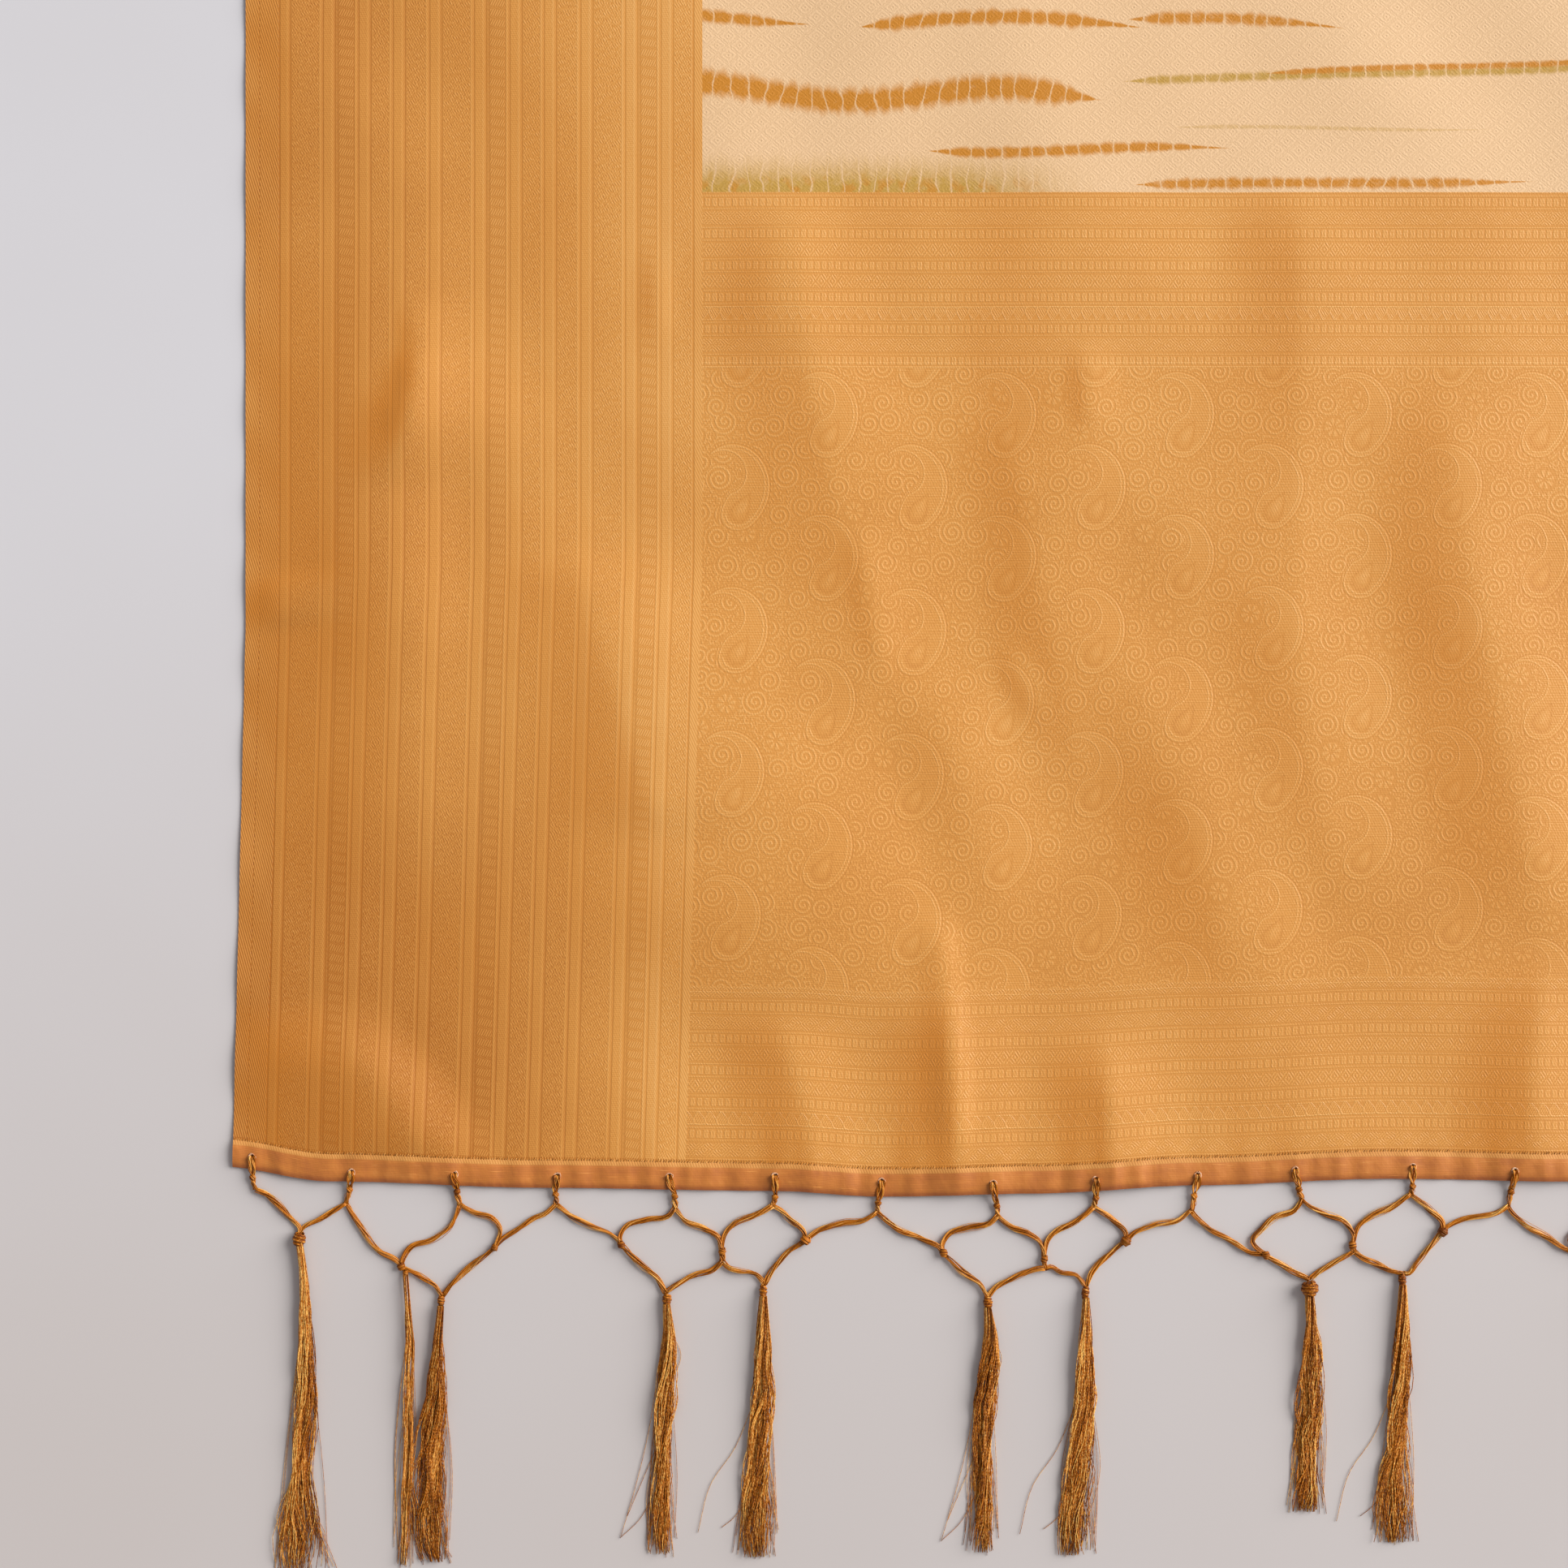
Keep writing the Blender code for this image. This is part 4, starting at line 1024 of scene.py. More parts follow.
def add_cloth(name, low_u, high_u, low_v, high_v, step, material, node):
    us = np.linspace(low_u, high_u, max(2, round((high_u - low_u) / step) + 1))
    vs = np.linspace(low_v, high_v, max(2, round((high_v - low_v) / step) + 1))
    cut_u, cut_v = np.meshgrid(us, vs, indexing="ij")
    under = rise(*laid(cut_u, cut_v)) + CLEAR
    piece = shell(name, cut_u, cut_v, under, under + THICK, material)
    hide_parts(node)
    return piece


border_cuts = np.linspace(HEM, LENGTH - HEM, 7)
for number, (low, high) in enumerate(zip(border_cuts[:-1], border_cuts[1:]), start=1):
    step = 4.5 if number == 1 else 11.0
    for side, left, right in (("left", 0.0, BORDER), ("right", WIDTH - BORDER, WIDTH)):
        name = f"border_{side}_stretch_{number}"
        add_cloth(name, left, right, low, high, step, border_finish, f"border_{side}")
add_cloth("pallu_cloth", BORDER, WIDTH - BORDER, HEM, PALLU_TOP, 4.5, pallu_finish, "pallu")
field_cuts = np.linspace(PALLU_TOP, LENGTH - HEM, 7)
for number, (low, high) in enumerate(zip(field_cuts[:-1], field_cuts[1:]), start=1):
    step = 7.0 if number == 1 else 14.0
    name = f"field_stretch_{number}"
    add_cloth(name, BORDER, WIDTH - BORDER, low, high, step, field_finish, "field")
print("cloth:", sum(len(o.data.polygons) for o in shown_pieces() if "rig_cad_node" not in o), "faces")

# %% [markdown]
# ## The hem and its eyelets
# The fringed hem is the cloth turned over and stitched. Each eyelet is a small hole, and the grid's lines
# are led through the eyelets' middles, so that leaving out the four squares round a middle point and pushing
# the eight points of their rim onto a circle makes a clean hole.

# %% Ties, knots and tassels as measured on the table
TIE_COUNT, KNOT_COUNT, TASSEL_COUNT = 22, 21, 14
Tie = namedtuple("Tie", "eye_u eye_v knot_u knot_v split_u split_v")
SHOWN_TIES = [
    Tie(3.4, 12.0, 3.6, 2.0, 5.0, -4.0),
    Tie(52.4, 4.6, 51.4, -3.9, 49.4, -10.8),
    Tie(103.2, 3.6, 104.2, -4.9, 105.6, -11.4),
    Tie(153.6, 2.6, 152.8, -6.4, 153.2, -11.4),
    Tie(208.8, 2.6, 211.4, -7.6, 211.6, -13.4),
    Tie(260.8, 2.6, 260.8, -7.8, 259.8, -12.0),
    Tie(313.2, 0.0, 311.6, -10.8, 311.2, -15.2),
    Tie(368.0, -0.6, 370.0, -12.0, 370.4, -16.8),
    Tie(418.8, 1.2, 418.8, -8.4, 418.0, -12.4),
    Tie(468.8, 3.0, 467.2, -7.2, 466.0, -14.4),
    Tie(516.8, 5.6, 518.8, -3.9, 520.4, -8.8),
]


def shifted(row, keys_u, keys_v, at_u):
    """A row one repeat to the right, and up or down by as much as the hem line is there."""
    drop = hem_change(at_u, REPEAT)
    moves = {key: REPEAT for key in keys_u} | {key: drop for key in keys_v}
    return row._replace(**{key: getattr(row, key) + move for key, move in moves.items()})


ties = list(SHOWN_TIES)
while len(ties) < TIE_COUNT:
    old = ties[-3]
    ties.append(shifted(old, ("eye_u", "knot_u", "split_u"), ("eye_v", "knot_v", "split_v"), old.eye_u))
print(len(ties), "ties, the last eyelet at", [round(float(p), 1) for p in ties[-1][:2]])

# %% The fringed hem
HOLE = 1.3
HEM_THICK = 1.5
HEM_ROWS, EYE_ROW = 12, 5


def dome(part):
    """1 - |2 part - 1|^3: 0 at a strip's two edges, and nearly 1 over most of its width."""
    return 1.0 - np.abs(2.0 * part - 1.0) ** 3.0


def hem_top(tie):
    """The height of the hem's face at a tie's eyelet."""
    return float(rise(tie.eye_u, max(tie.eye_v, 0.0))) + CLEAR + HEM_THICK


def hem_columns(low, high, holes):
    """Columns about 1.35 mm apart that pass through each eyelet's middle."""
    marks = np.unique(np.concatenate([[low], holes[(holes > low) & (holes < high)], [high]]))
    runs = [
        np.linspace(a, b, max(2, round((b - a) / 1.35) + 1))[:-1]
        for a, b in zip(marks[:-1], marks[1:])
    ]
    return np.append(np.concatenate(runs), high)


def add_hem(name, low, high):
    """The turned strip: a row of the grid is bent to pass through each eyelet's middle, and the rim's eight
    points go to a circle, by their distance from it. Its top is domed, so that the folded edge is round."""
    eyes_x = np.array([tie.eye_u for tie in ties])
    eyes_y = np.array([tie.eye_v for tie in ties])
    eyes_u = eyes_x + np.interp(eyes_x, DRIFT[:, 0], DRIFT[:, 1]) * (1.0 - eyes_y / 400.0)
    eyes_v = eyes_y - hem_line(eyes_u)
    columns = hem_columns(low, high, eyes_u)
    rows = np.linspace(0.0, 1.0, HEM_ROWS)
    cut_u, part = np.meshgrid(columns, rows, indexing="ij")
    cut_v = part * HEM
    keep = np.ones((len(columns) - 1, len(rows) - 1), bool)
    moved_u, moved_v = cut_u.copy(), cut_v.copy()
    inside = [(u, v) for u, v in zip(eyes_u, eyes_v) if low < u < high]
    for eye_u, eye_v in inside:
        near = ease(1.0 - np.abs(cut_u - eye_u) / 9.0)
        bend = np.interp(part, [0.0, rows[EYE_ROW], 1.0], [0.0, 1.0, 0.0])
        moved_v += (eye_v - rows[EYE_ROW] * HEM) * near * bend
    for eye_u, eye_v in inside:
        k = int(np.argmin(np.abs(columns - eye_u)))
        keep[k - 1 : k + 1, EYE_ROW - 1 : EYE_ROW + 1] = False
        rim = (slice(k - 1, k + 2), slice(EYE_ROW - 1, EYE_ROW + 2))
        away_u, away_v = moved_u[rim] - eye_u, moved_v[rim] - eye_v
        scale = HOLE / np.maximum(np.hypot(away_u, away_v), 0.5)
        moved_u[rim], moved_v[rim] = eye_u + away_u * scale, eye_v + away_v * scale
    moved_v = np.clip(moved_v, 0.0, HEM)
    height = rise(*laid(moved_u, moved_v)) + CLEAR
    puff = 0.18 * np.sin(moved_u / 1.9 + 2.0 * np.sin(moved_u / 17.0))
    over = height + THICK + 0.15 + (HEM_THICK - THICK + puff) * dome(part)
    piece = shell(name, moved_u, moved_v, height, over, hem_finish, keep)
    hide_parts("fringe_hem")
    return piece


hem_left = add_hem("fringe_hem_left", 0.0, WIDTH / 2)
hem_right = add_hem("fringe_hem_right", WIDTH / 2, WIDTH)
for side, low, high in (("left", 0.0, WIDTH / 2), ("right", WIDTH / 2, WIDTH)):
    us, vs = np.linspace(low, high, 70), np.linspace(LENGTH - HEM, LENGTH, 6)
    cut_u, cut_v = np.meshgrid(us, vs, indexing="ij")
    under = rise(*laid(cut_u, cut_v)) + CLEAR
    over = under + THICK + 0.1 + (HEM_THICK - THICK) * dome((cut_v - vs[0]) / HEM)
    piece = shell(f"end_hem_{side}", cut_u, cut_v, under, over, hem_finish)
    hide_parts("end_hem")
print("fringed hem:", len(hem_left.data.polygons) + len(hem_right.data.polygons), "faces")

# %% [markdown]
# ## Threads as tubes
# A thread is a thin tube with three sides, which is enough, because it is less than a millimetre across. All
# the threads of a piece are one array, with a row for each thread and a column for each step along it. A
# yarn is several threads that wind round one line, in a few strands that wind round each other.

# %% Tubes, smooth lines and yarns
def tubes(paths, radius, sides=3, reference=(0.0, 0.0, 1.0)):
    """Closed tubes along many paths at once. At each step, the ring's corners are the path's point plus the
    radius times (cos a, sin a) in the plane square to the path, counted from the reference direction."""
    threads, steps = paths.shape[:2]
    radius = np.broadcast_to(radius, (threads, steps))
    ahead = np.gradient(paths, axis=1)
    ahead /= np.linalg.norm(ahead, axis=2, keepdims=True) + 1e-9
    side = np.cross(ahead, np.array(reference, float) + (0.013, 0.007, 0.0))
    side /= np.linalg.norm(side, axis=2, keepdims=True) + 1e-9
    up = np.cross(side, ahead)
    angle = np.arange(sides) / sides * 2.0 * np.pi
    ring = np.cos(angle)[:, None] * side[:, :, None] + np.sin(angle)[:, None] * up[:, :, None]
    places = (paths[:, :, None] + ring * radius[:, :, None, None]).reshape(-1, 3)
    index = np.arange(threads * steps * sides).reshape(threads, steps, sides)
    after = np.roll(index, -1, axis=2)
    walls = np.stack([index[:, :-1], index[:, 1:], after[:, 1:], after[:, :-1]], axis=-1).reshape(-1, 4)
    caps = np.concatenate([index[:, 0], index[:, -1, ::-1]])
    length = np.cumsum(np.linalg.norm(np.diff(paths, axis=1, prepend=paths[:, :1]), axis=2), axis=1)
    return places, walls, caps, np.repeat(length.ravel(), sides)


class Threads:
    """Collects the threads of one piece, each with a tone from 0 to 1, and makes one mesh of them."""

    def __init__(self, seed):
        self.random = np.random.default_rng(seed)
        self.places, self.faces, self.maps, self.count = [], [], [], 0

    def add(self, paths, radius, sides=3, tone=None, reference=(0.0, 0.0, 1.0)):
        places, walls, caps, along = tubes(paths, radius, sides, reference)
        if tone is None:
            tone = self.random.uniform(0.0, 1.0, len(paths))
        repeated = np.repeat(np.broadcast_to(tone, len(paths)), paths.shape[1] * sides)
        self.places.append(places)
        self.faces += [walls + self.count, caps + self.count]
        self.maps.append(np.stack([repeated, along], axis=-1))
        self.count += len(places)

    def build(self, name, material):
        groups = {}
        for group in self.faces:
            groups.setdefault(group.shape[1], []).append(group)
        faces = [np.concatenate(group) for group in groups.values()]
        places = np.concatenate(self.places)
        return add_piece(name, places, faces, {"thread": np.concatenate(self.maps)}, material)


def through(points, steps):
    """A smooth line through points: each coordinate follows cubic pieces whose slopes are half the
    difference of the neighbouring points, measured by the distance along the points."""
    points = np.array(points, float)
    span = np.linalg.norm(np.diff(points[:, :2], axis=0), axis=1) + 0.05
    at = np.concatenate([[0.0], np.cumsum(span)])
    slope = np.gradient(points, at, axis=0)
    where = np.linspace(0.0, at[-1], steps)
    k = np.clip(np.searchsorted(at, where, side="right") - 1, 0, len(at) - 2)
    h = (at[k + 1] - at[k])[:, None]
    t = ((where - at[k])[:, None]) / h
    start = (2 * t**3 - 3 * t**2 + 1) * points[k] + (t**3 - 2 * t**2 + t) * h * slope[k]
    return start + (3 * t**2 - 2 * t**3) * points[k + 1] + (t**3 - t**2) * h * slope[k + 1]


def sideways(middle):
    """The step of one millimetre to a line's right, at each of its points, in the plane of the table."""
    ahead = np.gradient(middle, axis=0)
    side = np.stack([ahead[:, 1], -ahead[:, 0]], axis=-1)
    return side / (np.linalg.norm(side, axis=1, keepdims=True) + 1e-9)


def yarn(middle, radius, strands, per_strand, turns, random):
    """Paths of the threads in a twisted yarn: each strand circles the middle line by so many turns, and each
    of its threads circles the strand the other way round, at a random distance of up to the strand's own
    radius."""
    steps = len(middle)
    t = np.linspace(0.0, 1.0, steps)
    count = strands * per_strand
    strand = np.repeat(np.arange(strands), per_strand)
    phase = random.uniform(0.0, 1.0)
    angle = 2 * np.pi * (strand / strands + phase)[:, None] + 2 * np.pi * turns * t
    own = 2 * np.pi * random.uniform(0.0, 1.0, count)[:, None] + np.pi * turns * t
    reach = radius * 0.5 * np.sqrt(random.uniform(0.1, 1.0, count))[:, None]
    across = radius * 0.5 * np.cos(angle) + reach * np.cos(own)
    height = radius * 0.4 * np.sin(angle) + reach * 0.8 * np.sin(own)
    paths = np.repeat(middle[None], count, axis=0)
    paths[:, :, :2] += across[:, :, None] * sideways(middle)
    paths[:, :, 2] = np.maximum(paths[:, :, 2] + height, CLEAR + 0.3)
    return paths


# %% [markdown]
# ## Knots
# The knots are a few turns of yarn wound tight round the threads that go through them. A coil is a circle
# that climbs along its axis, so its path is (cos, climb, sin). A rounded core fills it.

# %% Wound knots
def coil(threads, u, v, low_z, wide, tall, turns, tilt=0.0):
    """Winds a yarn of four thin threads, side by side, round an axis in the plane of the table that leans by
    tilt from the cloth's length: the loop's half-width bulges by a sine in the middle of the knot, and each
    turn climbs by the yarn's own width."""
    steps = int(turns * 14) + 1
    t = np.linspace(0.0, 1.0, steps)
    pitch = tall / turns
    angle = 2 * np.pi * turns * t + threads.random.uniform(0.0, 6.0)
    cos, sin = math.cos(tilt), math.sin(tilt)
    axis = (-sin, cos, 0.0)
    for place in (-0.36, -0.12, 0.12, 0.36):
        bulge = pitch * (0.22 - 1.6 * place * place) + threads.random.uniform(-0.08, 0.08)
        half = (wide / 2 - pitch * 0.3) * (0.58 + 0.42 * np.sin(np.pi * t)) + bulge
        x = half * np.cos(angle)
        y = (t - 0.5) * (tall - pitch) + place * pitch
        z = np.maximum(low_z + wide * 0.42 + half * 0.85 * np.sin(angle), 0.25 + CLEAR)
        path = np.stack([u + x * cos - y * sin, v + x * sin + y * cos, z], axis=-1)
        threads.add(path[None], pitch * 0.17, 3, threads.random.uniform(0.05, 0.62), axis)
    core = np.stack([u - (t - 0.5) * tall * 0.8 * sin, v + (t - 0.5) * tall * 0.8 * cos,
                     np.full(steps, low_z + wide * 0.42)], axis=-1)
    thick = wide * 0.34 * np.sqrt(np.clip(1.0 - (2 * t - 1.0) ** 2, 0.02, 1.0))
    threads.add(core[None], thick[None], 6, 0.1)


# %% [markdown]
# ## Ties
# From each eyelet two legs of yarn come over the hem's edge to a small knot, and below it the yarn parts
# into a left and a right branch that bow down to the next knots. The branches were measured on the table,
# and each is stretched a little where needed, so that it starts and ends exactly at its knots.

# %% Knots and branches, as pixels of the photo
KNOTS_PX = [
    (368.5, 1521), (495, 1560), (609.6, 1537), (765.5, 1533), (890, 1541.5), (992.6, 1527), (1162.4, 1543),
    (1286.5, 1551), (1386.6, 1528.5), (1559, 1545.5), (1666, 1533.5),
]
KNOT_SIZES = [(6.8, 8.0), (4.4, 4.8), (3.8, 4.2), (4.0, 4.6), (3.8, 5.0), (5.6, 5.2), (4.2, 4.6), (3.8, 5.0),
              (5.6, 5.2), (4.2, 4.6), (4.0, 5.0)]
LEFT_PX = {
    2: [(401, 1498), (373, 1514)],
    3: [(554, 1511.5), (537, 1525), (504, 1539), (495, 1557.5)],
    4: [(669, 1497), (660, 1500.6), (640, 1514), (617, 1528)],
    5: [(826.6, 1496), (797.5, 1503), (773, 1510), (763.6, 1526)],
    6: [(931, 1497), (906.6, 1506.6), (894.5, 1519), (890, 1534)],
    7: [(1066.7, 1503), (1040, 1506.6), (1020, 1511.5), (1003.5, 1519)],
    8: [(1219, 1506.6), (1190, 1512.7), (1168.5, 1521), (1160.5, 1535.7)],
    9: [(1326, 1504), (1302, 1516), (1289.6, 1528.5), (1286.5, 1542)],
    10: [(1452, 1502.7), (1420, 1509), (1395, 1520)],
    11: [(1595, 1491), (1572, 1498), (1554, 1514), (1543, 1528.6), (1552, 1541)],
}
RIGHT_PX = {
    1: [(328, 1471), (355, 1497), (370, 1515)],
    2: [(447, 1514), (464, 1538), (491, 1555)],
    3: [(583, 1493), (607, 1500.6), (617, 1516), (612, 1531)],
    4: [(703, 1497), (729.7, 1510), (754, 1521), (764, 1530)],
    5: [(843.6, 1503), (870, 1514), (885, 1523.6), (889, 1536)],
    6: [(960, 1489), (974.5, 1502), (991, 1519)],
    7: [(1110, 1516), (1137, 1526), (1156, 1535.7)],
    8: [(1243.6, 1510), (1268, 1520), (1282, 1531), (1286, 1543)],
    9: [(1354, 1490), (1369.6, 1502), (1386.6, 1519)],
    10: [(1471, 1496), (1491, 1514), (1518, 1528.6), (1541, 1543)],
    11: [(1616, 1487.5), (1634, 1496), (1656, 1505), (1668, 1523)],
}
knots = [tuple(place) for place in from_photo(KNOTS_PX)]
knot_sizes = list(KNOT_SIZES)
while len(knots) < KNOT_COUNT:
    old_u, old_v = knots[-3]
    knots.append((old_u + REPEAT, old_v + hem_change(old_u, REPEAT)))
    knot_sizes.append(knot_sizes[-3])


def branch(measured, number, source, start, end, source_end):
    """A branch's line from start to end. A further tie follows the line of its source tie, moved right by
    whole repeats and up or down with the hem line. What is then missing at its end is shared out along the
    line."""
    points = from_photo(measured[source])
    moved = (number - source) // 3 * REPEAT
    step = (moved, hem_change(points[0, 0], moved))
    miss = np.array(end) - source_end - step
    share = np.linspace(0.0, 1.0, len(points) + 2)[1:-1, None]
    return np.array([start, *(points + step + share * miss), end])


def flat_line(points, height):
    points = np.array(points, float)
    return np.concatenate([points, np.full((len(points), 1), height)], axis=1)


# %% Build the ties
THREAD = 0.34


def stray(threads, middle, bulge, count=1):
    """Loose threads beside a yarn: they leave its line by a half sine and come back."""
    t = np.linspace(0.0, 1.0, len(middle))
    for _ in range(count):
        size = threads.random.uniform(0.4, 1.0) * bulge * threads.random.choice([-1.0, 1.0])
        bow = size * np.sin(np.pi * t) * (1.0 + 0.4 * np.sin(5.0 * t))
        path = middle.copy()
        path[:, :2] += sideways(middle) * bow[:, None]
        threads.add(path[None], 0.16, 3, threads.random.uniform(0.5, 1.0))


def add_yarn(threads, points, radius, steps, strands=3, per_strand=4, turns=None, loose=1.5):
    middle = through(points, steps)
    length = np.linalg.norm(np.diff(middle, axis=0), axis=1).sum()
    turns = length / 38.0 if turns is None else turns
    paths = yarn(middle, radius, strands, per_strand, turns, threads.random)
    strand_tone = np.repeat(threads.random.permutation(np.linspace(0.34, 0.70, strands)), per_strand)
    tone = strand_tone + threads.random.uniform(-0.18, 0.18, len(paths))
    threads.add(paths, THREAD, 3, np.clip(tone, 0.0, 1.0))
    stray(threads, middle, loose, 2)


def build_tie(number, tie):
    threads = Threads(TIE_SEED + number)
    base = hem_top(tie)
    lie = 1.3
    half_u, half_v = (tie.eye_u + tie.knot_u) / 2, (tie.eye_v + tie.knot_v) / 2
    for side in (-1.0, 1.0):
        leg = [
            (tie.eye_u + side * 0.4, tie.eye_v + 0.7, base - 1.4),
            (tie.eye_u + side * 0.6, tie.eye_v + 0.4, base + 0.2),
            (tie.eye_u + side * 0.9, tie.eye_v - 2.0, base + 0.8),
            (half_u + side * 1.0, half_v - 0.8, base * 0.7 + 0.9),
            (tie.knot_u + side * 0.4, tie.knot_v + 1.2, lie + 0.6),
        ]
        add_yarn(threads, leg, 1.0, 14, 2, 3, 0.8, 0.5)
    coil(threads, tie.knot_u, tie.knot_v, 0.3, 3.4, 3.7, 2.2, threads.random.choice([-0.7, 0.7]))
    shank = flat_line([(tie.knot_u, tie.knot_v - 0.8), (tie.split_u, tie.split_v)], lie)
    add_yarn(threads, shank, 1.4, 8, 3, 4, 0.4)
    source = number if number <= len(SHOWN_TIES) else 9 + (number - 12) % 3
    start = (tie.split_u, tie.split_v)
    if number > 1:
        points = branch(LEFT_PX, number, source, start, knots[number - 2], knots[source - 2])
        add_yarn(threads, flat_line(points, lie), 1.32, 20, 3, 5)
    if number < TIE_COUNT:
        points = branch(RIGHT_PX, number, source, start, knots[number - 1], knots[source - 1])
        add_yarn(threads, flat_line(points, lie), 1.32, 20, 3, 5)
    piece = threads.build(f"silk_tie_{number:02d}", yarn_finish)
    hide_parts(f"tie_{number:02d}")
    return piece


tie_pieces = [build_tie(number, tie) for number, tie in enumerate(ties, start=1)]
print("ties:", sum(len(piece.data.polygons) for piece in tie_pieces), "faces")

# %% [markdown]
# ## Nets
# Below the ties, the branches part once more and meet two by two over the heads of the tassels. Every fifth
# of the knots stands alone. The measured lines repeat across the cloth, three eyelets to a repeat.

# %% Build the nets
NET_RUNS_PX = {
    1: [[(522, 1574.5), (537, 1584)], [(578, 1562), (559, 1579)]],
    2: [
        [(790, 1557.5), (809.7, 1574.5)],
        [(882, 1562), (853, 1572), (831.5, 1584)],
        [(897, 1560), (911.5, 1566), (931, 1569.7)],
        [(965, 1548), (950, 1567)],
    ],
    3: [
        [(1185, 1565), (1209.7, 1584)],
        [(1278, 1563), (1249, 1573), (1227.5, 1585)],
        [(1293, 1561), (1307.5, 1567), (1327, 1570.5)],
        [(1355, 1555), (1343, 1569.7)],
    ],
    4: [
        [(1580.7, 1559), (1598.6, 1569.6)],
        [(1648.6, 1551.8), (1630.7, 1562.5)],
        [(1682.5, 1551.8), (1700, 1559), (1717, 1566)],
        [(1745, 1555), (1733, 1569.7)],
    ],
}
JOINTS_PX = [(545.5, 1596), (820.5, 1592), (942, 1581.5), (1216.5, 1597.5), (1338, 1584), (1613, 1576)]
joints = [tuple(place) for place in from_photo(JOINTS_PX)]
while len(joints) < TASSEL_COUNT - 1:
    old_u, old_v = joints[-2]
    joints.append((old_u + REPEAT, old_v + hem_change(old_u, REPEAT)))


def build_net(number):
    threads = Threads(NET_SEED + number)
    lie = 1.6
    source = min(number, 4)
    shift = (number - source) * REPEAT
    if number == 1:
        ends = [(knots[1], joints[0]), (knots[2], joints[0])]
        its_knots = [1, 2]
    else:
        first = 3 * number - 3
        left, right = joints[2 * number - 3], joints[2 * number - 2]
        middle_u, middle_v = knots[first + 1]
        parting = (middle_u + 0.3, middle_v - (2.8 if source == 4 else 4.8))
        add_yarn(threads, flat_line([knots[first + 1], parting], lie), 1.6, 6, 3, 4, 0.3)
        ends = [(knots[first], left), (parting, left), (parting, right), (knots[first + 2], right)]
        its_knots = [first, first + 1, first + 2]
    for run, (start, end) in zip(NET_RUNS_PX[source], ends):
        points = from_photo(run)
        points += (shift, hem_change(points[0, 0], shift))
        add_yarn(threads, flat_line([start, *points, end], lie), 1.42, 18)
    for k in its_knots:
        wide, tall = knot_sizes[k]
        coil(threads, *knots[k], 0.2, wide, tall, 2.5, threads.random.uniform(-0.7, 0.7))
    piece = threads.build(f"silk_net_{number}", yarn_finish)
    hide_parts(f"net_{number:02d}")
    return piece


net_pieces = [build_net(number) for number in range(1, 8)]
print("nets:", sum(len(piece.data.polygons) for piece in net_pieces), "faces")

# %% [markdown]
# ## Tassels
# A tassel is a bundle of loose silk. Its threads cling together in locks, each with a tone and a way of its
# own through the bundle. The bundle's section widens, narrows and turns down the tassel, so the locks cross
# as real ones do. Every thread also has its own small wave and its own length. A few stray away, seven fan
# out at the tip, and eight thin wisps bow out at the sides.

# %% Tassel lines: the middle and the width at several heights, as pixels of the photo
TASSELS_PX = {
    1: [(369.7, 1528, 12), (375.7, 1570, 12), (378, 1642, 22), (377.6, 1713, 30), (375, 1761, 29),
        (373, 1810, 20), (370, 1858, 40), (373, 1907, 48), (372, 1938, 50)],
    2: [(544, 1608, 8), (541, 1652, 12), (539, 1713, 27), (532.7, 1761, 36), (528, 1834, 36),
        (530, 1907, 30), (534, 1924, 26)],
    3: [(822, 1606, 9), (825, 1642, 16), (823.6, 1676, 23), (818.8, 1725, 27), (815, 1785, 19),
        (814, 1846, 21), (815, 1914, 24)],
    4: [(940.5, 1596, 9), (940, 1652, 20), (938.7, 1725, 31), (935, 1785, 27), (931.5, 1846, 31),
        (932.7, 1918, 36)],
    5: [(1217, 1610, 9), (1221, 1642, 16), (1219.6, 1676, 24), (1214, 1725, 27), (1211, 1785, 20),
        (1210, 1846, 21), (1210, 1912, 25)],
    6: [(1337, 1598, 9), (1336, 1652, 20), (1334.7, 1725, 31), (1331, 1785, 27), (1327, 1846, 31),
        (1326, 1916, 35)],
    7: [(1612.5, 1592, 11), (1614.6, 1632, 16), (1615.5, 1668, 25), (1614, 1740, 31), (1612, 1800, 27),
        (1612, 1862, 30)],
}
THIN_PX = [
    (500, 1570, 7), (503, 1618, 8), (505, 1652, 13), (503.6, 1737, 13), (501, 1810, 12), (499, 1880, 14),
    (497, 1928, 13),
]
STRAYS_PX = {
    3: [[(808, 1710), (800, 1760), (778, 1850), (765, 1893)], [(806, 1790), (784, 1842), (773, 1868)],
        [(808, 1836), (788, 1872), (764, 1895)], [(826, 1640), (839, 1668), (826, 1705)]],
    4: [[(926, 1735), (905, 1785), (876, 1828), (860, 1888)], [(922, 1846), (902, 1872), (889, 1882)]],
}


TASSEL_THREADS, THIN_THREADS, TASSEL_STEPS = 140, 50, 26


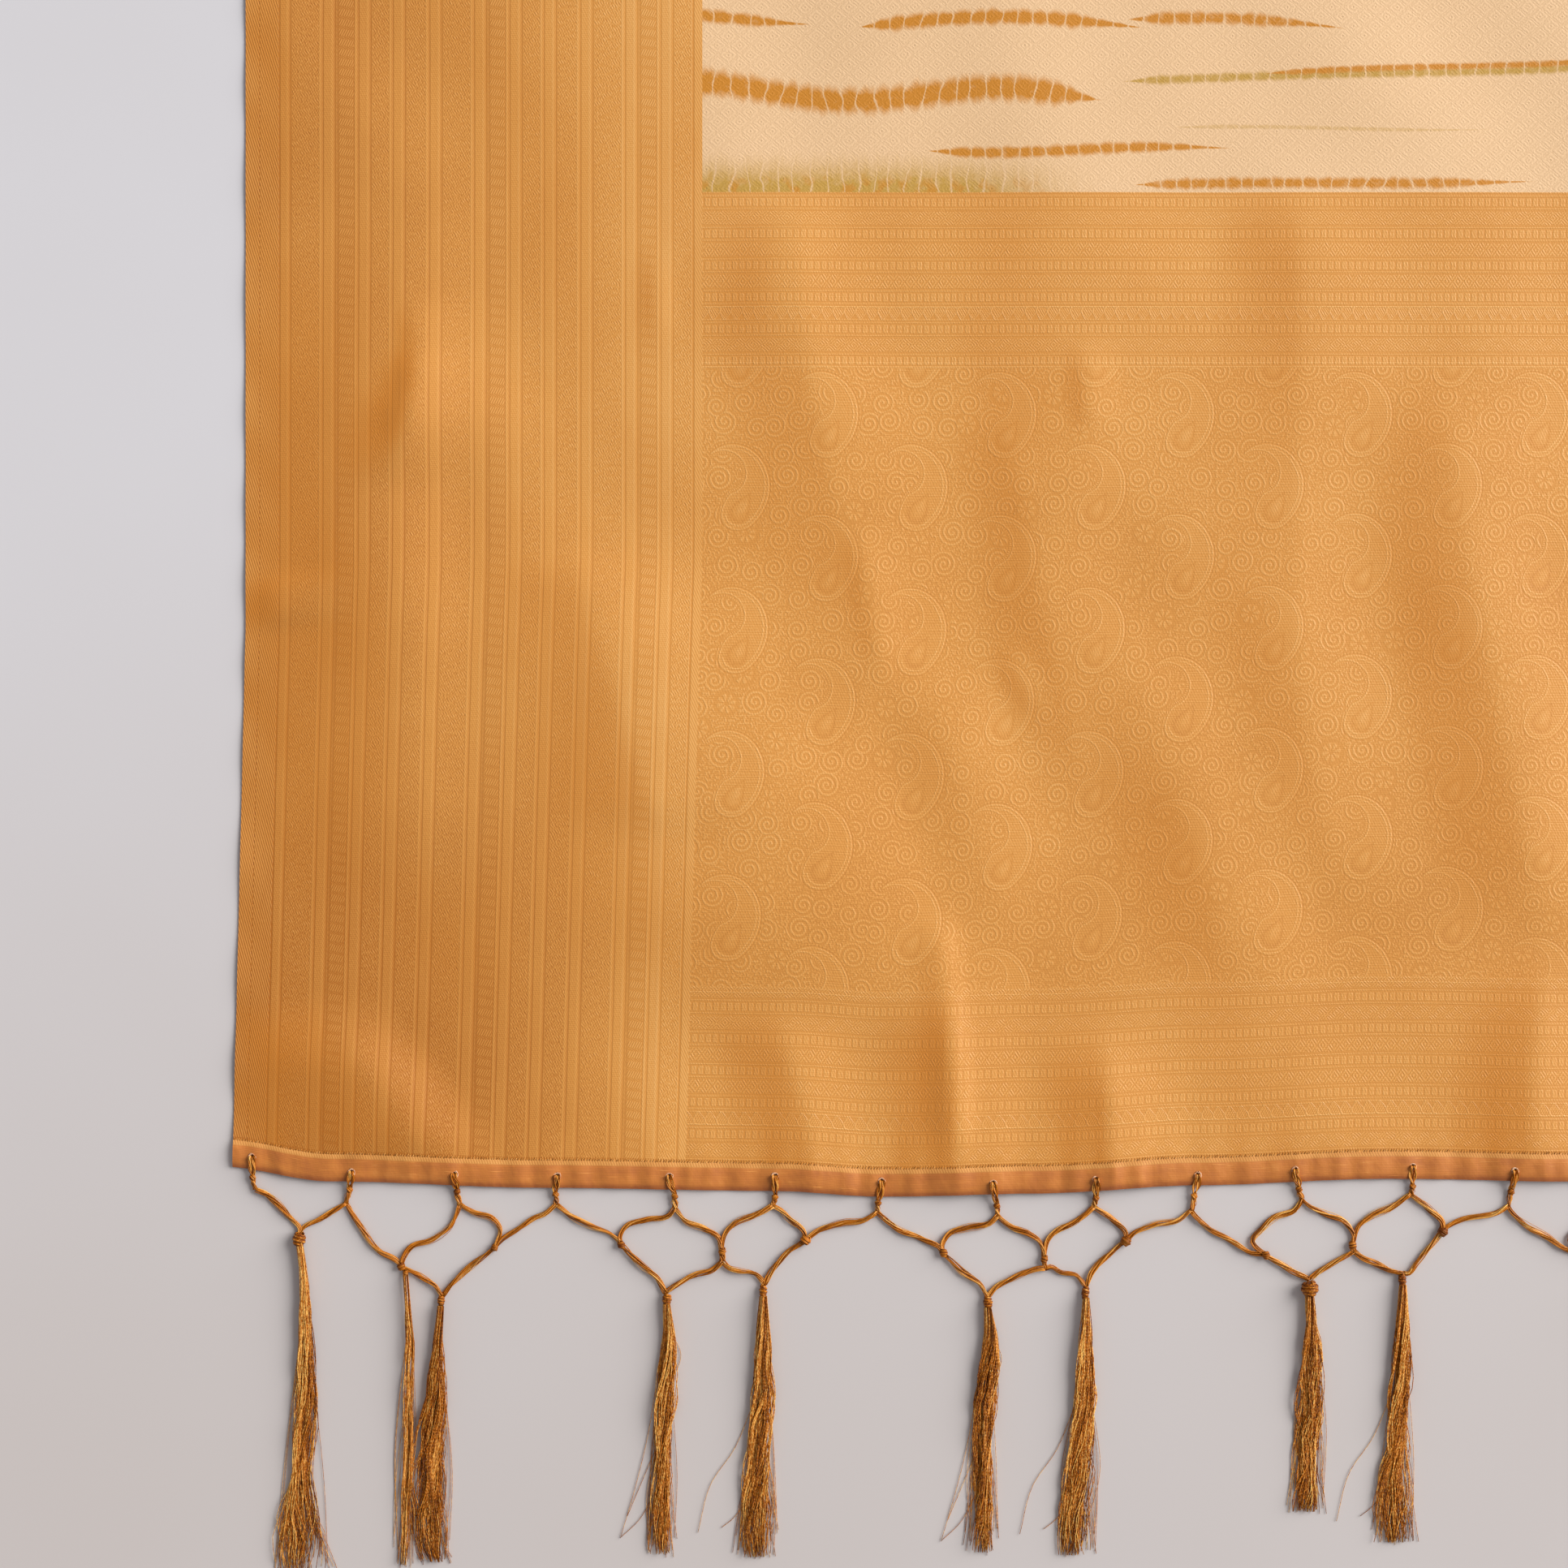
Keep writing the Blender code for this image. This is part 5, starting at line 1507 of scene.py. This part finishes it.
def tassel_paths(random, levels, count, steps, shortest):
    """Each lock's place in the section is (distance, angle), and its threads lie round it. The angle turns
    slowly down the tassel, the section is as wide as measured and lower than it is wide, and sines that grow
    towards the tip make every lock and every thread wander. Gives the paths and a tone for each."""
    levels = np.array(levels, float)
    locks = max(6, count // 5)
    lock = random.integers(0, locks, count)
    fall = np.linspace(0.0, 1.0, steps)
    reach = 1.0 - (1.0 - shortest) * random.uniform(0.0, 1.0, count) ** 2.0
    t = fall[None] * reach[:, None]
    at = (levels[:, 1] - levels[0, 1]) / (levels[-1, 1] - levels[0, 1])
    middle = np.interp(t, at, levels[:, 0])
    width = np.interp(t, at, levels[:, 2])
    distance = np.sqrt(random.uniform(0.0, 1.0, locks))[lock][:, None]
    turns = random.uniform(0.15, 0.7, locks)[lock][:, None]
    angle = random.uniform(0.0, 2 * np.pi, locks)[lock][:, None] + 2 * np.pi * turns * t
    across = 0.44 * width * distance * np.cos(angle)
    grown = ease(t / 0.7)
    for size, waves in ((0.13, 1.3), (0.07, 2.9)):
        phase = random.uniform(0.0, 2 * np.pi, locks)[lock][:, None]
        across = across + width * size * grown * np.sin(2 * np.pi * waves * t + phase)
    own = random.uniform(-1.0, 1.0, count)[:, None]
    own_phase = random.uniform(0.0, 2 * np.pi, count)[:, None]
    own_waves = random.uniform(2.0, 7.0, count)[:, None]
    crinkle = (0.34 + 0.028 * width) * np.sin(2 * np.pi * own_waves * t + own_phase)
    spread = 0.09 + 0.16 * ease((t - 0.6) / 0.4)
    across = across + spread * width * own + crinkle * ease(t / 0.25)
    thick = 1.5 + 3.4 * (1.0 - ease(t / 1.3))
    height = 0.35 + thick * (0.5 + 0.5 * distance * np.sin(angle) + 0.06 * own)
    down = levels[0, 1] + (levels[-1, 1] - levels[0, 1]) * t
    tone = random.uniform(0.0, 1.0, locks)[lock] * 0.60 + random.uniform(-0.05, 0.50, count)
    return np.stack([middle + across, down, np.maximum(height, 0.35)], axis=-1), np.clip(tone, 0.0, 1.0)


def build_tassel(number, name, node, levels, count, strays, knot_at, knot_size):
    threads = Threads(TASSEL_SEED + number)
    paths, tone = tassel_paths(threads.random, levels, count, TASSEL_STEPS, 0.70)
    radius = np.linspace(1.0, 0.75, TASSEL_STEPS) * 0.27
    threads.add(paths, radius[None], 3, tone)
    for line_points in strays:
        points = flat_line(line_points, 0.5)
        threads.add(through(points, 14)[None], 0.17, 3, threads.random.uniform(0.3, 0.9))
    last = np.array(levels[-1], float)
    for _ in range(7):
        side = threads.random.uniform(-1.0, 1.0)
        points = [
            (levels[-3][0] + side * levels[-3][2] * 0.3, levels[-3][1], 0.6),
            (levels[-2][0] + side * levels[-2][2] * 0.7, levels[-2][1], 0.5),
            (last[0] + side * last[2] * 0.95, last[1] + threads.random.uniform(-2.0, 4.0), 0.4),
        ]
        threads.add(through(points, 10)[None], 0.16, 3)
    for _ in range(8):
        side = threads.random.choice([-1.0, 1.0])
        start = np.array(levels[threads.random.integers(2, len(levels) - 2)], float)
        bowed = (start + last) / 2
        points = [
            (start[0] + side * start[2] * 0.35, start[1], 0.9),
            (bowed[0] + side * (bowed[2] * 0.5 + threads.random.uniform(0.3, 3.2)), bowed[1], 0.5),
            (last[0] + side * (last[2] * 0.5 + threads.random.uniform(-2.0, 3.5)),
             last[1] + threads.random.uniform(0.0, 16.0), 0.4),
        ]
        threads.add(through(points, 10)[None], 0.15, 3, threads.random.uniform(0.3, 0.9))
    wide, tall = knot_size
    coil(threads, *knot_at, 0.2, wide, tall, 3.2, threads.random.uniform(-0.15, 0.15))
    piece = threads.build(name, silk_finish)
    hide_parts(node)
    return piece


shown_lines = {number: from_photo(rows) for number, rows in TASSELS_PX.items()}
for rows in shown_lines.values():
    rows[:, 2] *= PIXEL
shown_strays = {number: [from_photo(row) for row in rows] for number, rows in STRAYS_PX.items()}
HEADS = {
    1: (6.8, 8.0), 2: (3.8, 6.0), 3: (4.8, 6.8), 4: (4.2, 7.6), 5: (4.8, 6.8), 6: (4.2, 7.6), 7: (9.0, 8.0),
}
tassel_pieces = []
for number in range(1, TASSEL_COUNT + 1):
    source = number if number <= 7 else 6 + number % 2
    shift = (number - source) // 2 * REPEAT
    rows = shown_lines[source] + (shift, hem_change(shown_lines[source][0, 0], shift), 0.0)
    strays = []
    if source in (3, 4, 5, 6):
        stray_source = 3 if source in (3, 5) else 4
        moved = rows[0, :2] - shown_lines[stray_source][0, :2]
        strays = [row + moved for row in shown_strays[stray_source]]
    at = (rows[0, 0], rows[0, 1] + (2.4 if number > 1 else 0.8))
    head = HEADS[source]
    name = f"silk_tassel_{number:02d}"
    tassel_pieces.append(
        build_tassel(number, name, f"tassel_{number:02d}", rows, TASSEL_THREADS, strays, at, head)
    )
thin_rows = from_photo(THIN_PX)
thin_rows[:, 2] *= PIXEL
thin_at = (thin_rows[0, 0], thin_rows[0, 1] + 0.8)
thin = build_tassel(15, "silk_tassel_thin", "tassel_thin", thin_rows, THIN_THREADS, [], thin_at, (3.0, 3.4))
tassel_pieces.append(thin)
print("tassels:", sum(len(piece.data.polygons) for piece in tassel_pieces), "faces")

# %% [markdown]
# ## Stitches and frayed eyelets
# The hem was overcast with a golden thread: short slanted stitches, 1.3 mm apart, along its upper edge.
# Round each eyelet the cut cloth has frayed into a pale fuzz of short fibres.

# %% Stitches along the hem, and fuzz round the eyelets
STITCH = 1.3


def add_stitches(name, low, high):
    threads = Threads(STITCH_SEED + int(low))
    at = np.arange(low + 0.5, high - 1.0, STITCH)
    wobble = threads.random.uniform(-0.25, 0.25, (len(at), 2))
    share = np.array([0.0, 0.35, 0.7, 1.0])
    cut_u = at[:, None] + wobble[:, :1] + share * 0.9
    cut_v = HEM - 0.5 + wobble[:, 1:] + share * 1.5
    x, y = laid(cut_u, cut_v)
    z = rise(x, y) + CLEAR + THICK + np.array([-0.04, 0.20, 0.18, -0.06])
    threads.add(np.stack([x, y, z], axis=-1), 0.20)
    return threads.build(name, stitch_finish)


def add_fuzz(name, low, high):
    threads = Threads(FUZZ_SEED + int(low))
    for tie in ties:
        if not low <= tie.eye_u < high:
            continue
        count = 46
        angle = threads.random.uniform(0.0, 2 * np.pi, count)
        start = HOLE * threads.random.uniform(0.85, 1.35, count)
        end = HOLE * threads.random.uniform(1.0, 1.6, count)
        share = np.linspace(0.0, 1.0, 5)
        reach = start[:, None] + (end - start)[:, None] * share
        spin = angle[:, None] + share * threads.random.uniform(0.6, 1.5, count)[:, None]
        x = tie.eye_u + reach * np.cos(spin)
        y = tie.eye_v + reach * np.sin(spin)
        z = hem_top(tie) + 0.12 + 0.25 * np.sin(np.pi * share) + np.zeros_like(x)
        threads.add(np.stack([x, y, z], axis=-1), 0.14)
    return threads.build(name, fuzz_finish)


stitch_pieces = [
    add_stitches("hem_stitches_left", 0.0, WIDTH / 2),
    add_stitches("hem_stitches_right", WIDTH / 2, WIDTH),
    add_fuzz("eyelet_fuzz_left", 0.0, WIDTH / 2),
    add_fuzz("eyelet_fuzz_right", WIDTH / 2, WIDTH),
]
print("stitches and fuzz:", sum(len(piece.data.polygons) for piece in stitch_pieces), "faces")

# %% [markdown]
# ## Finish
# Last, we count the pieces and their triangles.

# %% Finish
made = [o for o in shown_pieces() if "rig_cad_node" not in o]
triangles = sum(len(o.data.loops) - 2 * len(o.data.polygons) for o in made)
print(len(made), "pieces,", triangles, "triangles")
